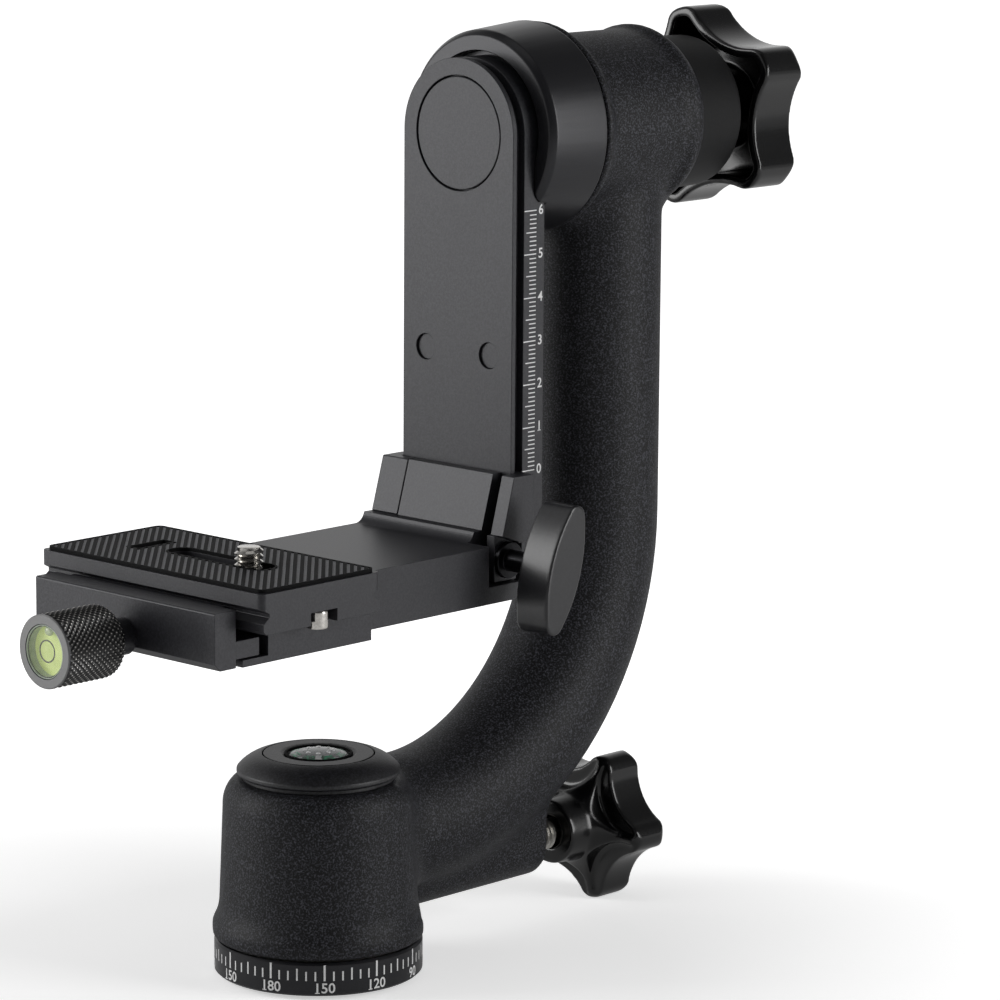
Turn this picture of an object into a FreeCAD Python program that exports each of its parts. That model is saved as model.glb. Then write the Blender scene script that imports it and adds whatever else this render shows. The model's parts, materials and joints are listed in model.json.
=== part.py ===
"""Gimbal tripod head: a J-shaped cast arm that pans on a dial base and carries a tilting L bracket.

+Z is up and z = 0 is the underside of the dial base. The pan axis is X = Y = 0. The tilt axis lies
along X at tilt_height. The camera platform reaches towards -X, the tilt lock knob towards +X, and
the height lock paddle is on the -Y side. Every length is in millimetres.
"""
import FreeCAD, Part
import math
import os
import re
import Sketcher

Vector = FreeCAD.Vector

SIZES = [
    # Fits shared by the whole head
    ("running_gap", 0.05),
    ("seat_gap", 0.3),
    ("edge_break", 0.5),
    # Turned pan base with its graduated disc and spindle
    ("dial_radius", 23.8),
    ("dial_height", 7.6),
    ("spindle_radius", 10.0),
    ("spindle_shoulder", 35.6),
    ("spindle_thread_length", 5.4),
    ("spindle_top", "=spindle_shoulder + spindle_thread_length"),
    ("spindle_thread_radius", 7.5),
    ("socket_radius", 3.97),
    ("socket_depth", 12.0),
    ("socket_bush_radius", 7.0),
    ("spindle_nut_radius", 12.0),
    ("spindle_nut_height", 3.6),
    ("spindle_washer_height", 0.7),
    # Pan bearing and the arm's lower housing
    ("pan_washer_height", 0.4),
    ("pan_washer_inner", 14.0),
    ("pan_washer_outer", 21.0),
    ("pan_bush_radius", 13.0),
    ("bearing_web_drop", 0.1),
    ("bearing_web_top", "=spindle_shoulder - bearing_web_drop"),
    ("bearing_web", 5.5),
    ("pan_bush_top", "=bearing_web_top - bearing_web"),
    ("housing_top", 44.7),
    ("housing_radius", 22.6),
    ("housing_shoulder_radius", 21.8),
    ("housing_shoulder_height", 38.5),
    ("housing_crown_radius", 19.2),
    ("housing_collar_radius", 24.2),
    ("housing_collar_height", 11.6),
    ("housing_collar_sweep", 5.6),
    ("housing_neck", "=housing_collar_height + housing_collar_sweep"),
    ("cap_cavity_radius", 15.5),
    # Bent tube of the arm
    ("arm_radius", 15.8),
    ("arm_bend_radius", 64.9),
    ("arm_upright_x", 91.7),
    ("arm_foot_height", 29.8),
    ("web_blend", 8.0),
    ("barrel_blend", 7.0),
    # Pan lock boss, screw, shoe and star knob
    ("lock_height", 17.3),
    ("lock_boss_radius", 8.4),
    ("lock_boss_end", 68.2),
    ("lock_screw_radius", 4.0),
    ("lock_shoe_radius", 5.0),
    ("lock_shoe_length", 9.5),
    ("lock_bore_depth", 26.0),
    ("lock_knob_radius", 18.6),
    ("lock_knob_start", 77.3),
    ("lock_knob_face", 88.9),
    ("lock_knob_end", 99.3),
    ("lock_knob_hub", 7.8),
    ("lock_knob_valley", 13.4),
    ("lock_flute_radius", 13.5),
    ("lock_rib_valley", 8.8),
    ("lock_rib_flute", 10.5),
    ("lock_knob_tip", 3.6),
    ("lock_knob_turn", 58.7),
    # Tilt housing, bearings and shaft
    ("tilt_height", 187.9),
    ("tilt_front", 69.5),
    ("tilt_back", 107.0),
    ("tilt_housing_radius", 20.8),
    ("tilt_collar_radius", 24.3),
    ("tilt_bead_radius", 21.8),
    ("tilt_bead_x", 103.4),
    ("tilt_end_radius", 19.9),
    ("tilt_bush_radius", 11.0),
    ("tilt_bush_length", 12.0),
    ("tilt_shaft_radius", 8.0),
    ("tilt_thread_radius", 5.0),
    ("tilt_shaft_end", 138.0),
    ("tilt_cap_radius", 18.5),
    ("tilt_cap_end", 124.2),
    ("tilt_washer_radius", 13.0),
    ("tilt_washer_thickness", 1.2),
    ("friction_ring_radius", 21.5),
    # Hollow star knob of the tilt lock
    ("tilt_knob_radius", 24.9),
    ("tilt_knob_start", 127.6),
    ("tilt_knob_end", 141.3),
    ("tilt_knob_valley", 18.5),
    ("tilt_flute_radius", 20.0),
    ("tilt_knob_tip", 4.6),
    ("tilt_knob_turn", 22.6),
    ("tilt_knob_wall", 2.4),
    ("tilt_knob_boss", 10.0),
    ("tilt_insert_radius", 7.0),
    # Tilt hub and height rail
    ("hub_front", 51.6),
    ("hub_back", 68.9),
    ("hub_front_radius", 22.3),
    ("hub_back_radius", 24.5),
    ("hub_recess_radius", 18.45),
    ("rail_front", 44.7),
    ("rail_back", 55.3),
    ("rail_half_width", 17.25),
    ("rail_bottom", 83.5),
    ("rail_flange", 1.3),
    ("rail_groove_start", 2.3),
    ("rail_groove_end", 3.8),
    ("rail_groove_depth", 2.1),
    ("rail_cap_radius", 13.25),
    ("rail_cap_thickness", 1.6),
    ("hub_screw_radius", 4.0),
    ("hub_screw_head", 7.0),
    ("hub_screw_head_height", 4.5),
    ("hub_screw_end", 74.0),
    ("plug_radius", 3.05),
    ("plug_length", 4.0),
    ("plug_spacing", 20.0),
    ("plug_height", 137.6),
    # L bracket: platform, cove and upright block, all set out from the clamp screw's axis
    ("clamp_axis_height", 86.5),
    ("clamp_axis_rise", 3.8),
    ("platform_bottom", "=clamp_axis_height - clamp_axis_rise"),
    ("platform_half_width", 21.1),
    ("platform_thickness", 13.3),
    ("platform_top", "=platform_bottom + platform_thickness"),
    ("platform_end", -11.9),
    ("platform_heel_radius", 3.0),
    ("block_step", 2.4),
    ("block_foot", "=platform_top + block_step"),
    ("block_height", 12.7),
    ("block_top", "=block_foot + block_height"),
    ("block_top_front", 41.8),
    ("block_foot_front", 38.1),
    ("cove_front", 32.8),
    ("cove_ledge", 35.6),
    ("cheek_back", 48.3),
    ("cheek_drop", 2.8),
    ("cheek_foot", "=block_foot - cheek_drop"),
    ("cheek_inner", 17.55),
    ("cheek_seam", 12.5),
    ("jaw_slot_inner", 14.4),
    ("jaw_slot_outer", 17.2),
    ("lap_length", 20.0),
    ("lap_height", 3.8),
    ("recess_front", 33.6),
    ("recess_web", 4.0),
    ("recess_floor", "=platform_bottom + recess_web"),
    ("recess_inner", 14.4),
    # Height lock stud and paddle
    ("stud_x", 41.2),
    ("stud_rise", 5.2),
    ("stud_height", "=recess_floor + stud_rise"),
    ("stud_radius", 2.5),
    ("stud_tip", 2.0),
    ("stud_collar_radius", 4.2),
    ("stud_collar_outer", 20.7),
    ("lug_outer", 19.4),
    ("lug_thickness", 2.5),
    ("paddle_face", 38.0),
    ("paddle_thickness", 9.6),
    ("paddle_length", 30.2),
    ("paddle_width", 10.4),
    ("paddle_tip", 2.7),
    ("paddle_lean", 16.7),
    # Quick-release clamp
    ("clamp_half_length", 28.7),
    ("deck_thickness", 8.0),
    ("clamp_deck", "=platform_bottom + deck_thickness"),
    ("clamp_body_front", -43.3),
    ("clamp_lip_front", -50.8),
    ("clamp_lip_height", 1.6),
    ("ridge_height", 5.0),
    ("ridge_top", "=clamp_deck + ridge_height"),
    ("jaw_front", -58.9),
    ("jaw_back", -52.7),
    ("jaw_rise", 0.2),
    ("jaw_bottom", "=platform_bottom + jaw_rise"),
    ("jaw_drop", 0.1),
    ("jaw_top", "=ridge_top - jaw_drop"),
    ("jaw_chamfer", 1.6),
    ("tongue_end", -45.7),
    ("tongue_cover", 2.0),
    ("tongue_bottom", "=platform_bottom + tongue_cover"),
    ("tongue_top", "=clamp_deck - tongue_cover"),
    ("guide_pin_radius", 1.5),
    ("guide_pin_spacing", 36.0),
    ("guide_pin_seat", 3.0),
    ("guide_pin_end", -35.2),
    ("clamp_screw_radius", 2.5),
    ("clamp_screw_end", -34.2),
    ("clamp_knob_face", -81.6),
    ("clamp_knob_back", -64.5),
    ("clamp_knob_radius", 8.14),
    ("clamp_knob_neck", 4.1),
    ("vial_radius", 5.9),
    ("vial_depth", 5.0),
    ("lens_thickness", 0.8),
    ("lap_screw_spacing", 24.0),
    ("lap_screw_x", -23.0),
    ("lap_screw_radius", 2.0),
    ("lap_screw_head", 4.0),
    ("lap_screw_cover", 1.3),
    ("lap_screw_top", "=clamp_deck - lap_screw_cover"),
    # Quick-release plate, pad and camera screw
    ("plate_middle", -33.6),
    ("plate_half_width", 17.9),
    ("plate_overhang", 6.7),
    ("plate_half_length", "=clamp_half_length + plate_overhang"),
    ("plate_thickness", 8.9),
    ("plate_top", "=clamp_deck + plate_thickness"),
    ("plate_flange", 3.3),
    ("plate_groove_depth", 2.2),
    ("plate_foot_inset", 0.5),
    ("plate_channel_half", 3.95),
    ("plate_channel_depth", 2.8),
    ("plate_corner", 1.6),
    ("pad_thickness", 0.8),
    ("pad_margin", 0.9),
    ("slot_x", -33.0),
    ("slot_half_width", 3.3),
    ("slot_near", -18.9),
    ("slot_far", 12.3),
    ("cross_slot_y", 19.4),
    ("cross_slot_half_length", 5.2),
    ("cross_slot_half_width", 1.6),
    ("pocket_half_width", 6.7),
    ("pocket_depth", 3.9),
    ("camera_screw_radius", 3.175),
    ("camera_neck_radius", 2.5),
    ("camera_screw_y", -12.0),
    ("camera_screw_reach", 4.7),
    ("camera_screw_top", "=plate_top + camera_screw_reach"),
    ("camera_head_radius", 6.2),
    ("camera_head_height", 2.6),
    ("camera_washer_height", 0.6),
    ("stop_screw_inset", 2.1),
    ("stop_screw_y", "=plate_half_length - stop_screw_inset"),
    ("stop_head_radius", 2.35),
    ("stop_head_drop", 1.3),
    ("stop_head_bottom", "=clamp_deck - stop_head_drop"),
    ("stop_shank_radius", 1.5),
    ("stop_shank_length", 4.0),
    # Compass set in the cap of the pan housing
    ("cap_ring_radius", 18.6),
    ("cap_ring_side", 2.3),
    ("cap_ring_lip", 1.0),
    ("cap_top", 50.4),
    ("cap_crown", 9.5),
    ("cap_spigot_radius", 15.4),
    ("cap_spigot_depth", 1.7),
    ("bezel_radius", 12.8),
    ("bezel_foot", 47.6),
    ("compass_radius", 7.7),
    ("compass_floor", 46.5),
    ("compass_card_height", 47.5),
    ("needle_half_length", 5.4),
    ("needle_height", 48.4),
    ("needle_thickness", 0.3),
    ("glass_foot", 49.7),
    ("glass_crown", 1.0),
    ("glass_thickness", 0.6),
]

doc = FreeCAD.newDocument("GimbalTripodHead")
sheet = doc.addObject("Spreadsheet::Sheet", "Sizes")
for row, (alias, value) in enumerate(SIZES, 1):
    sheet.set(f"A{row}", alias)
    sheet.set(f"B{row}", str(value))
    sheet.setAlias(f"B{row}", alias)
doc.recompute()
ALIASES = {alias for alias, value in SIZES}
sub_parts = []


def formula(text):
    """Turns the size names in a text into references to the spreadsheet."""
    return re.sub(r"[A-Za-z_]\w*", lambda m: f"Sizes.{m[0]}" if m[0] in ALIASES else m[0], text)


def mm(text):
    """The present value of a formula."""
    return float(sheet.evalExpression(formula(text)))


def bind(thing, **formulas):
    """Ties properties of an object to formulas on the spreadsheet."""
    for name, text in formulas.items():
        thing.setExpression(name.replace("__", "."), formula(text))


def put(thing, at, turn=None):
    """Places an object at three formulas, turned by a fixed rotation."""
    if turn:
        thing.Placement = FreeCAD.Placement(Vector(), turn)
    bind(thing, Placement__Base__x=at[0], Placement__Base__y=at[1], Placement__Base__z=at[2])
    return thing


ALONG = {
    "Z": FreeCAD.Rotation(),
    "X": FreeCAD.Rotation(Vector(0, 1, 0), 90),
    "Y": FreeCAD.Rotation(Vector(1, 0, 0), -90),
}
ORIGIN = ("0", "0", "0")


def cylinder(name, radius, length, at=ORIGIN, along="Z"):
    """A cylinder that starts at a point and runs along an axis."""
    thing = doc.addObject("Part::Cylinder", name)
    bind(thing, Radius=radius, Height=length)
    return put(thing, at, ALONG[along])


def cone(name, radius, end_radius, length, at=ORIGIN, along="Z"):
    """A cone that starts at a point and runs along an axis."""
    thing = doc.addObject("Part::Cone", name)
    bind(thing, Radius1=radius, Radius2=end_radius, Height=length)
    return put(thing, at, ALONG[along])


def box(name, low, high):
    """A box between two corners, each of three formulas."""
    thing = doc.addObject("Part::Box", name)
    spans = [f"({b}) - ({a})" for a, b in zip(low, high)]
    bind(thing, Length=spans[0], Width=spans[1], Height=spans[2])
    return put(thing, low)


def fuse(name, *pieces):
    """One solid from pieces that touch or overlap."""
    thing = doc.addObject("Part::MultiFuse", name)
    thing.Shapes = list(pieces)
    thing.Refine = True
    return thing


def cut(name, base, *tools):
    """The base less every tool."""
    thing = doc.addObject("Part::Cut", name)
    thing.Base = base
    thing.Tool = tools[0] if len(tools) == 1 else fuse(name + "_tools", *tools)
    thing.Refine = True
    return thing


def common(name, *pieces):
    """What all the pieces share."""
    thing = doc.addObject("Part::MultiCommon", name)
    thing.Shapes = list(pieces)
    thing.Refine = True
    return thing


def outline(body, plane, corners, start="0"):
    """A closed sketch on an origin plane of its body.

    A corner is (across, up). A third entry makes the side that ends there an arc of that radius,
    which bulges to the left of the way along, or to the right if it starts with a minus sign.
    """
    sketch = body.newObject("Sketcher::SketchObject", body.Name + "_outline")
    support = [face for face in body.Origin.OriginFeatures if face.Role == plane + "_Plane"][0]
    sketch.AttachmentSupport = [(support, "")]
    sketch.MapMode = "FlatFace"
    bind(sketch, AttachmentOffset__Base__z=start)
    points = [Vector(mm(corner[0]), mm(corner[1]), 0) for corner in corners]
    ends = []
    for index, point in enumerate(points):
        after = (index + 1) % len(points)
        goal, corner = points[after], corners[after]
        if len(corner) == 2:
            sketch.addGeometry(Part.LineSegment(point, goal))
            ends.append((1, 2))
            continue
        right = corner[2].startswith("-")
        radius = mm(corner[2].lstrip("-"))
        chord = goal - point
        left = Vector(-chord.y, chord.x, 0).normalize()
        rise = math.sqrt(radius ** 2 - (chord.Length / 2) ** 2)
        centre = (point + goal) * 0.5 + left * (rise if right else -rise)
        first, last = (point, goal) if right else (goal, point)
        angles = [math.atan2(p.y - centre.y, p.x - centre.x) for p in (first, last)]
        circle = Part.Circle(centre, Vector(0, 0, 1), radius)
        sketch.addGeometry(Part.ArcOfCircle(circle, angles[0], angles[1]))
        ends.append((1, 2) if right else (2, 1))
    for index, corner in enumerate(corners):
        after = (index + 1) % len(corners)
        sketch.addConstraint(
            Sketcher.Constraint("Coincident", index, ends[index][1], after, ends[after][0]))
        for kind, text in (("DistanceX", corner[0]), ("DistanceY", corner[1])):
            number = sketch.addConstraint(
                Sketcher.Constraint(kind, -1, 1, index, ends[index][0], mm(text)))
            sketch.setExpression(f"Constraints[{number}]", formula(text))
        if len(corners[after]) == 3:
            radius = corners[after][2].lstrip("-")
            number = sketch.addConstraint(Sketcher.Constraint("Radius", index, mm(radius)))
            sketch.setExpression(f"Constraints[{number}]", formula(radius))
    return sketch


def turned(name, corners, along="Z", at=ORIGIN):
    """A lathe-turned body: corners are (radius, height) about Z, or (length, radius) about X."""
    body = doc.addObject("PartDesign::Body", name)
    sketch = outline(body, "XY" if along == "Y" else "XZ", corners)
    spin = body.newObject("PartDesign::Revolution", name + "_spin")
    spin.Profile = sketch
    spin.ReferenceAxis = (sketch, ["H_Axis" if along == "X" else "V_Axis"])
    spin.Angle = 360
    return put(body, at)


def extruded(name, plane, corners, length, start=None, at=ORIGIN):
    """A body padded from an outline, to both sides of its plane unless a start is given."""
    body = doc.addObject("PartDesign::Body", name)
    sketch = outline(body, plane, corners, start or "0")
    pad = body.newObject("PartDesign::Pad", name + "_pad")
    pad.Profile = sketch
    pad.Midplane = start is None
    bind(pad, Length=length)
    return put(body, at)


def rounded(name, base, radius, chosen, kind="Part::Fillet"):
    """The base with a fillet, or a chamfer, on the edges that a test chooses."""
    doc.recompute()
    thing = doc.addObject(kind, name)
    thing.Base = base
    size = mm(radius)
    edges = enumerate(base.Shape.Edges, 1)
    thing.Edges = [(number, size, size) for number, edge in edges if chosen(edge)]
    return thing


def sub_part(label, thing):
    """Names a finished piece and lists it for export."""
    thing.Label = label
    sub_parts.append(thing)
    return thing


def bounds(edge):
    """The edge's box, which tells where it lies."""
    return edge.BoundBox


def near(value, text, slack=0.01):
    return abs(value - mm(text)) < slack


# Pan base: disc with the degree scale and spindle, turned from one bar
pan_base = turned("PanBase", [
    ("socket_bush_radius", "0"),
    ("dial_radius - edge_break", "0"),
    ("dial_radius", "edge_break"),
    ("dial_radius", "dial_height - edge_break"),
    ("dial_radius - edge_break", "dial_height"),
    ("spindle_radius", "dial_height"),
    ("spindle_radius", "spindle_shoulder"),
    ("spindle_thread_radius", "spindle_shoulder"),
    ("spindle_thread_radius", "spindle_top"),
    ("0", "spindle_top"),
    ("0", "socket_depth + 2"),
    ("socket_bush_radius", "socket_depth + 2"),
])
sub_part("pan_base", pan_base)

# Steel bush with the tripod thread, pressed into the underside of the base
sub_part("tripod_bush", turned("TripodBush", [
    ("socket_radius", "0"),
    ("socket_bush_radius", "0"),
    ("socket_bush_radius", "socket_depth"),
    ("socket_radius", "socket_depth"),
]))

# Spring washer and nut that hold the arm down on the spindle
sub_part("spindle_washer", turned("SpindleWasher", [
    ("spindle_thread_radius + running_gap", "spindle_shoulder"),
    ("spindle_nut_radius + 1.5", "spindle_shoulder"),
    ("spindle_nut_radius + 1.5", "spindle_shoulder + spindle_washer_height"),
    ("spindle_thread_radius + running_gap", "spindle_shoulder + spindle_washer_height"),
]))
nut_foot = "spindle_shoulder + spindle_washer_height"
nut_blank = turned("SpindleNutBlank", [
    ("spindle_thread_radius + running_gap", nut_foot),
    ("spindle_nut_radius", nut_foot),
    ("spindle_nut_radius", nut_foot + " + spindle_nut_height"),
    ("spindle_thread_radius + running_gap", nut_foot + " + spindle_nut_height"),
])
nut_notches = []
for number, (x, y) in enumerate((("1", "0"), ("0", "1"), ("-1", "0"), ("0", "-1"))):
    at = (f"{x} * spindle_nut_radius", f"{y} * spindle_nut_radius", nut_foot + " + 1.4")
    nut_notches.append(cylinder(f"NutNotch{number}", "1.7", "spindle_nut_height", at))
sub_part("spindle_nut", cut("SpindleNut", nut_blank, *nut_notches))

# Slip washer between the dial and the arm's housing
housing_foot = "dial_height + pan_washer_height"
sub_part("pan_slip_washer", turned("PanSlipWasher", [
    ("pan_washer_inner", "dial_height"),
    ("pan_washer_outer", "dial_height"),
    ("pan_washer_outer", housing_foot),
    ("pan_washer_inner", housing_foot),
]))

# Bronze sleeve bearing, with a window for the lock shoe
pan_bush = turned("PanBushSleeve", [
    ("spindle_radius + running_gap", housing_foot + " + 1"),
    ("pan_bush_radius", housing_foot + " + 1"),
    ("pan_bush_radius", "pan_bush_top"),
    ("spindle_radius + running_gap", "pan_bush_top"),
])
shoe_window = cylinder("ShoeWindow", "lock_shoe_radius + 0.1", "pan_bush_radius + 2",
                       ("0", "0", "lock_height"), "X")
sub_part("pan_bush", cut("PanBush", pan_bush, shoe_window))

# Arm casting: lower housing, lock boss, bent tube and tilt housing in one piece
housing = turned("Housing", [
    ("0", housing_foot),
    ("housing_collar_radius - 0.5", housing_foot),
    ("housing_collar_radius", housing_foot + " + 0.8"),
    ("housing_collar_radius", "housing_collar_height"),
    ("housing_radius", "housing_neck", "9.5"),
    ("housing_shoulder_radius", "housing_shoulder_height"),
    ("housing_crown_radius", "housing_top", "-7.5"),
    ("0", "housing_top"),
])
bend_x = "arm_upright_x - arm_bend_radius"
bend_z = "arm_foot_height + arm_bend_radius"
foot_run = cylinder("FootRun", "arm_radius", bend_x, ("0", "0", "arm_foot_height"), "X")
bend = doc.addObject("Part::Torus", "Bend")
bind(bend, Radius1="arm_bend_radius", Radius2="arm_radius")
bend.Angle3 = 90
put(bend, (bend_x, "0", bend_z),
    FreeCAD.Rotation(Vector(0, 0, -1), Vector(1, 0, 0), Vector(0, -1, 0), "ZXY"))
upright = cylinder("Upright", "arm_radius", f"tilt_height - ({bend_z})",
                   ("arm_upright_x", "0", bend_z))
lock_boss = extruded("LockBoss", "YZ", [
    ("lock_boss_radius", "lock_height", "-lock_boss_radius"),
    ("lock_boss_radius", "arm_foot_height + 2"),
    ("-lock_boss_radius", "arm_foot_height + 2"),
    ("-lock_boss_radius", "lock_height"),
    ("0", "lock_height - lock_boss_radius", "-lock_boss_radius"),
], "lock_boss_end", "0")
tilt_housing = turned("TiltHousing", [
    ("tilt_front", "0"),
    ("tilt_front", "tilt_collar_radius - 0.4"),
    ("tilt_front + 0.4", "tilt_collar_radius"),
    ("tilt_front + 1.8", "tilt_collar_radius"),
    ("tilt_front + 6.5", "tilt_housing_radius", "-7"),
    ("tilt_bead_x - 3.4", "tilt_housing_radius"),
    ("tilt_bead_x", "tilt_bead_radius", "-7"),
    ("tilt_bead_x + 1", "tilt_bead_radius"),
    ("tilt_back", "tilt_end_radius", "4"),
    ("tilt_back", "0"),
], "X", ("0", "0", "tilt_height"))


def off_tube(point):
    """How far a point is from the skin of the arm's bent tube."""
    across = point.x - mm(bend_x)
    if across < 0:
        out = point.z - mm("arm_foot_height")
    elif point.z < mm(bend_z):
        out = math.hypot(across, point.z - mm(bend_z)) - mm("arm_bend_radius")
    else:
        out = point.x - mm("arm_upright_x")
    return abs(math.hypot(out, point.y) - mm("arm_radius"))


def middle_of(edge):
    """The point half way along an edge."""
    return edge.valueAt((edge.FirstParameter + edge.LastParameter) / 2)


def web_seam(edge):
    """True where the flat sides of the lock boss run into the tube."""
    middle = middle_of(edge)
    side = abs(abs(middle.y) - mm("lock_boss_radius"))
    return off_tube(middle) < 0.05 and side < 0.05 and bounds(edge).XLength > 0.01


def barrel_seam(edge):
    """True where the tube runs into the barrel of the tilt housing."""
    middle = middle_of(edge)
    side = abs(math.hypot(middle.y, middle.z - mm("tilt_height")) - mm("tilt_housing_radius"))
    return off_tube(middle) < 0.05 and side < 0.05 and bounds(edge).YLength > 0.1


tube = fuse("ArmTube", foot_run, bend, upright)
web = rounded("ArmWeb", fuse("ArmWebBlank", tube, lock_boss), "web_blend", web_seam)
barrel = cylinder("TiltBarrel", "tilt_housing_radius", "2 * (tilt_back - tilt_front)",
                  ("tilt_front", "0", "tilt_height"), "X")
topped = rounded("ArmTop", fuse("ArmTopBlank", web, barrel), "barrel_blend", barrel_seam)
upper_arm = cut("UpperArm", topped,
                cylinder("BarrelTrim", "tilt_collar_radius + 3", "2 * tilt_back",
                         ("tilt_back", "0", "tilt_height"), "X"))
casting = fuse("CastingBlank", housing, upper_arm, tilt_housing)
arm_casting = cut(
    "ArmCasting", casting,
    cylinder("PanBore", "pan_bush_radius", f"pan_bush_top - ({housing_foot})",
             ("0", "0", housing_foot)),
    cylinder("WebBore", "spindle_radius + seat_gap", "20", ("0", "0", "pan_bush_top - 5")),
    cylinder("CapCavity", "cap_cavity_radius", "housing_top", ("0", "0", "bearing_web_top")),
    cylinder("ShoeBore", "lock_shoe_radius + running_gap", "lock_bore_depth",
             ("0", "0", "lock_height"), "X"),
    cylinder("LockThread", "lock_screw_radius + running_gap", "lock_boss_end",
             ("1", "0", "lock_height"), "X"),
    cylinder("TiltBore", "tilt_bush_radius", "tilt_back - tilt_front + 2",
             ("tilt_front - 1", "0", "tilt_height"), "X"),
    cylinder("CapRimClearance", "cap_ring_radius + seat_gap", "10", ("0", "0", "housing_top")),
    cylinder("EndCapClearance", "tilt_cap_radius + seat_gap", "20",
             ("tilt_back", "0", "tilt_height"), "X"),
)
sub_part("arm_casting", arm_casting)

# Pan lock: nylon shoe on the spindle, pushed by a steel screw with a star knob
shoe_front = "spindle_radius + seat_gap"
shoe_back = f"{shoe_front} + lock_shoe_length"
sub_part("pan_lock_shoe", turned("PanLockShoe", [
    (shoe_front, "0"),
    (shoe_front, "lock_shoe_radius - 0.6"),
    (f"{shoe_front} + 0.6", "lock_shoe_radius"),
    (shoe_back, "lock_shoe_radius"),
    (shoe_back, "0"),
], "X", ("0", "0", "lock_height")))
lock_screw_end = "lock_knob_end - 3"
sub_part("pan_lock_screw", turned("PanLockScrew", [
    (shoe_back, "0"),
    (shoe_back, "lock_screw_radius - 0.8"),
    (f"{shoe_back} + 0.8", "lock_screw_radius"),
    (lock_screw_end, "lock_screw_radius"),
    (lock_screw_end, "0"),
], "X", ("0", "0", "lock_height")))


def star_bar(name, radius, valley, flute, tip, start, length, height, turn):
    """A bar along X with five lobes: a cylinder less five flutes, with rounded lobe edges."""
    bar = cylinder(f"{name}Bar", radius, length, (start, "0", height), "X")
    reach = f"(({valley}) + ({flute}))"
    flutes = []
    for number in range(5):
        angle = f"({72 * number} + {turn})"
        at = (start, f"-{reach} * sin{angle}", f"{height} + {reach} * cos{angle}")
        flutes.append(cylinder(f"{name}Flute{number}", flute, length, at, "X"))
    fluted = cut(f"{name}Fluted", bar, *flutes)
    doc.recompute()
    centres = [thing.Placement.Base for thing in flutes]

    def lobe_edge(edge):
        """True for the sharp edges where a flute leaves the bar's round."""
        middle = edge.CenterOfMass
        across = [abs(math.hypot(middle.y - c.y, middle.z - c.z) - mm(flute)) for c in centres]
        out = math.hypot(middle.y, middle.z - mm(height))
        return edge.BoundBox.XLength > 1 and abs(out - mm(radius)) < 0.01 and min(across) < 0.01

    return rounded(f"{name}Lobes", fluted, tip, lobe_edge)


lock_knob_blank = turned("LockKnobBlank", [
    ("lock_knob_start", "lock_screw_radius"),
    ("lock_knob_start", "lock_knob_hub"),
    ("lock_knob_start + 6.4", "lock_knob_hub + 0.5"),
    ("lock_knob_face - 0.8", "lock_knob_radius - 2", "-9"),
    ("lock_knob_face + 1.2", "lock_knob_radius", "2.4"),
    ("lock_knob_end - 1.6", "lock_knob_radius"),
    ("lock_knob_end", "lock_knob_radius - 2", "2.2"),
    ("lock_knob_end", "0"),
    (lock_screw_end, "0"),
    (lock_screw_end, "lock_screw_radius"),
], "X", ("0", "0", "lock_height"))
lock_ribs = star_bar("LockKnobRibs", "lock_knob_radius", "lock_rib_valley", "lock_rib_flute",
                     "1", "lock_knob_start - 1", "lock_knob_face - lock_knob_start + 1",
                     "lock_height", "lock_knob_turn")
lock_lobes = star_bar("LockKnob", "lock_knob_radius", "lock_knob_valley", "lock_flute_radius",
                      "lock_knob_tip", "lock_knob_face", "lock_knob_end - lock_knob_face + 1",
                      "lock_height", "lock_knob_turn")
lock_star = fuse("LockKnobStar", lock_ribs, lock_lobes)
sub_part("pan_lock_knob", common("PanLockKnob", lock_knob_blank, lock_star))

# Cap of the pan housing: outer ring, bezel, compass case, card, pivot, needle and glass
sub_part("cap_ring", turned("CapRing", [
    ("bezel_radius - 1.6", "housing_top"),
    ("cap_spigot_radius - 2", "housing_top"),
    ("cap_spigot_radius - 2", "housing_top - cap_spigot_depth"),
    ("cap_spigot_radius", "housing_top - cap_spigot_depth"),
    ("cap_spigot_radius", "housing_top"),
    ("cap_ring_radius - 1.2", "housing_top"),
    ("cap_ring_radius - 1.2", "housing_top + cap_ring_lip"),
    ("cap_ring_radius - 0.5", "housing_top + cap_ring_lip"),
    ("cap_ring_radius", "housing_top + cap_ring_lip + 0.5"),
    ("cap_ring_radius", "housing_top + cap_ring_side"),
    ("bezel_radius + running_gap", "cap_top", "-cap_crown"),
    ("bezel_radius + running_gap", "bezel_foot"),
    ("bezel_radius - 1.6", "bezel_foot"),
]))
sub_part("compass_bezel", turned("CompassBezel", [
    ("compass_radius + running_gap", "bezel_foot"),
    ("bezel_radius", "bezel_foot"),
    ("bezel_radius", "cap_top - 0.3"),
    ("bezel_radius - 0.3", "cap_top"),
    ("compass_radius + 1.2", "cap_top"),
    ("compass_radius + running_gap", "cap_top - 0.5"),
]))
sub_part("compass_case", turned("CompassCase", [
    ("0", "compass_floor"),
    ("compass_radius", "compass_floor"),
    ("compass_radius", "glass_foot"),
    ("compass_radius - 0.8", "glass_foot"),
    ("compass_radius - 0.8", "compass_floor + 0.8"),
    ("0", "compass_floor + 0.8"),
]))
card_foot = "compass_floor + 0.8"
sub_part("compass_card", turned("CompassCard", [
    ("0.6", card_foot),
    ("compass_radius - 0.9", card_foot),
    ("compass_radius - 0.9", "compass_card_height"),
    ("0.6", "compass_card_height"),
]))
sub_part("compass_pivot", turned("CompassPivot", [
    ("0", card_foot),
    ("0.5", card_foot),
    ("0.5", "needle_height - 0.6"),
    ("0.15", "needle_height - 0.02"),
    ("0", "needle_height - 0.02"),
]))
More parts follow.
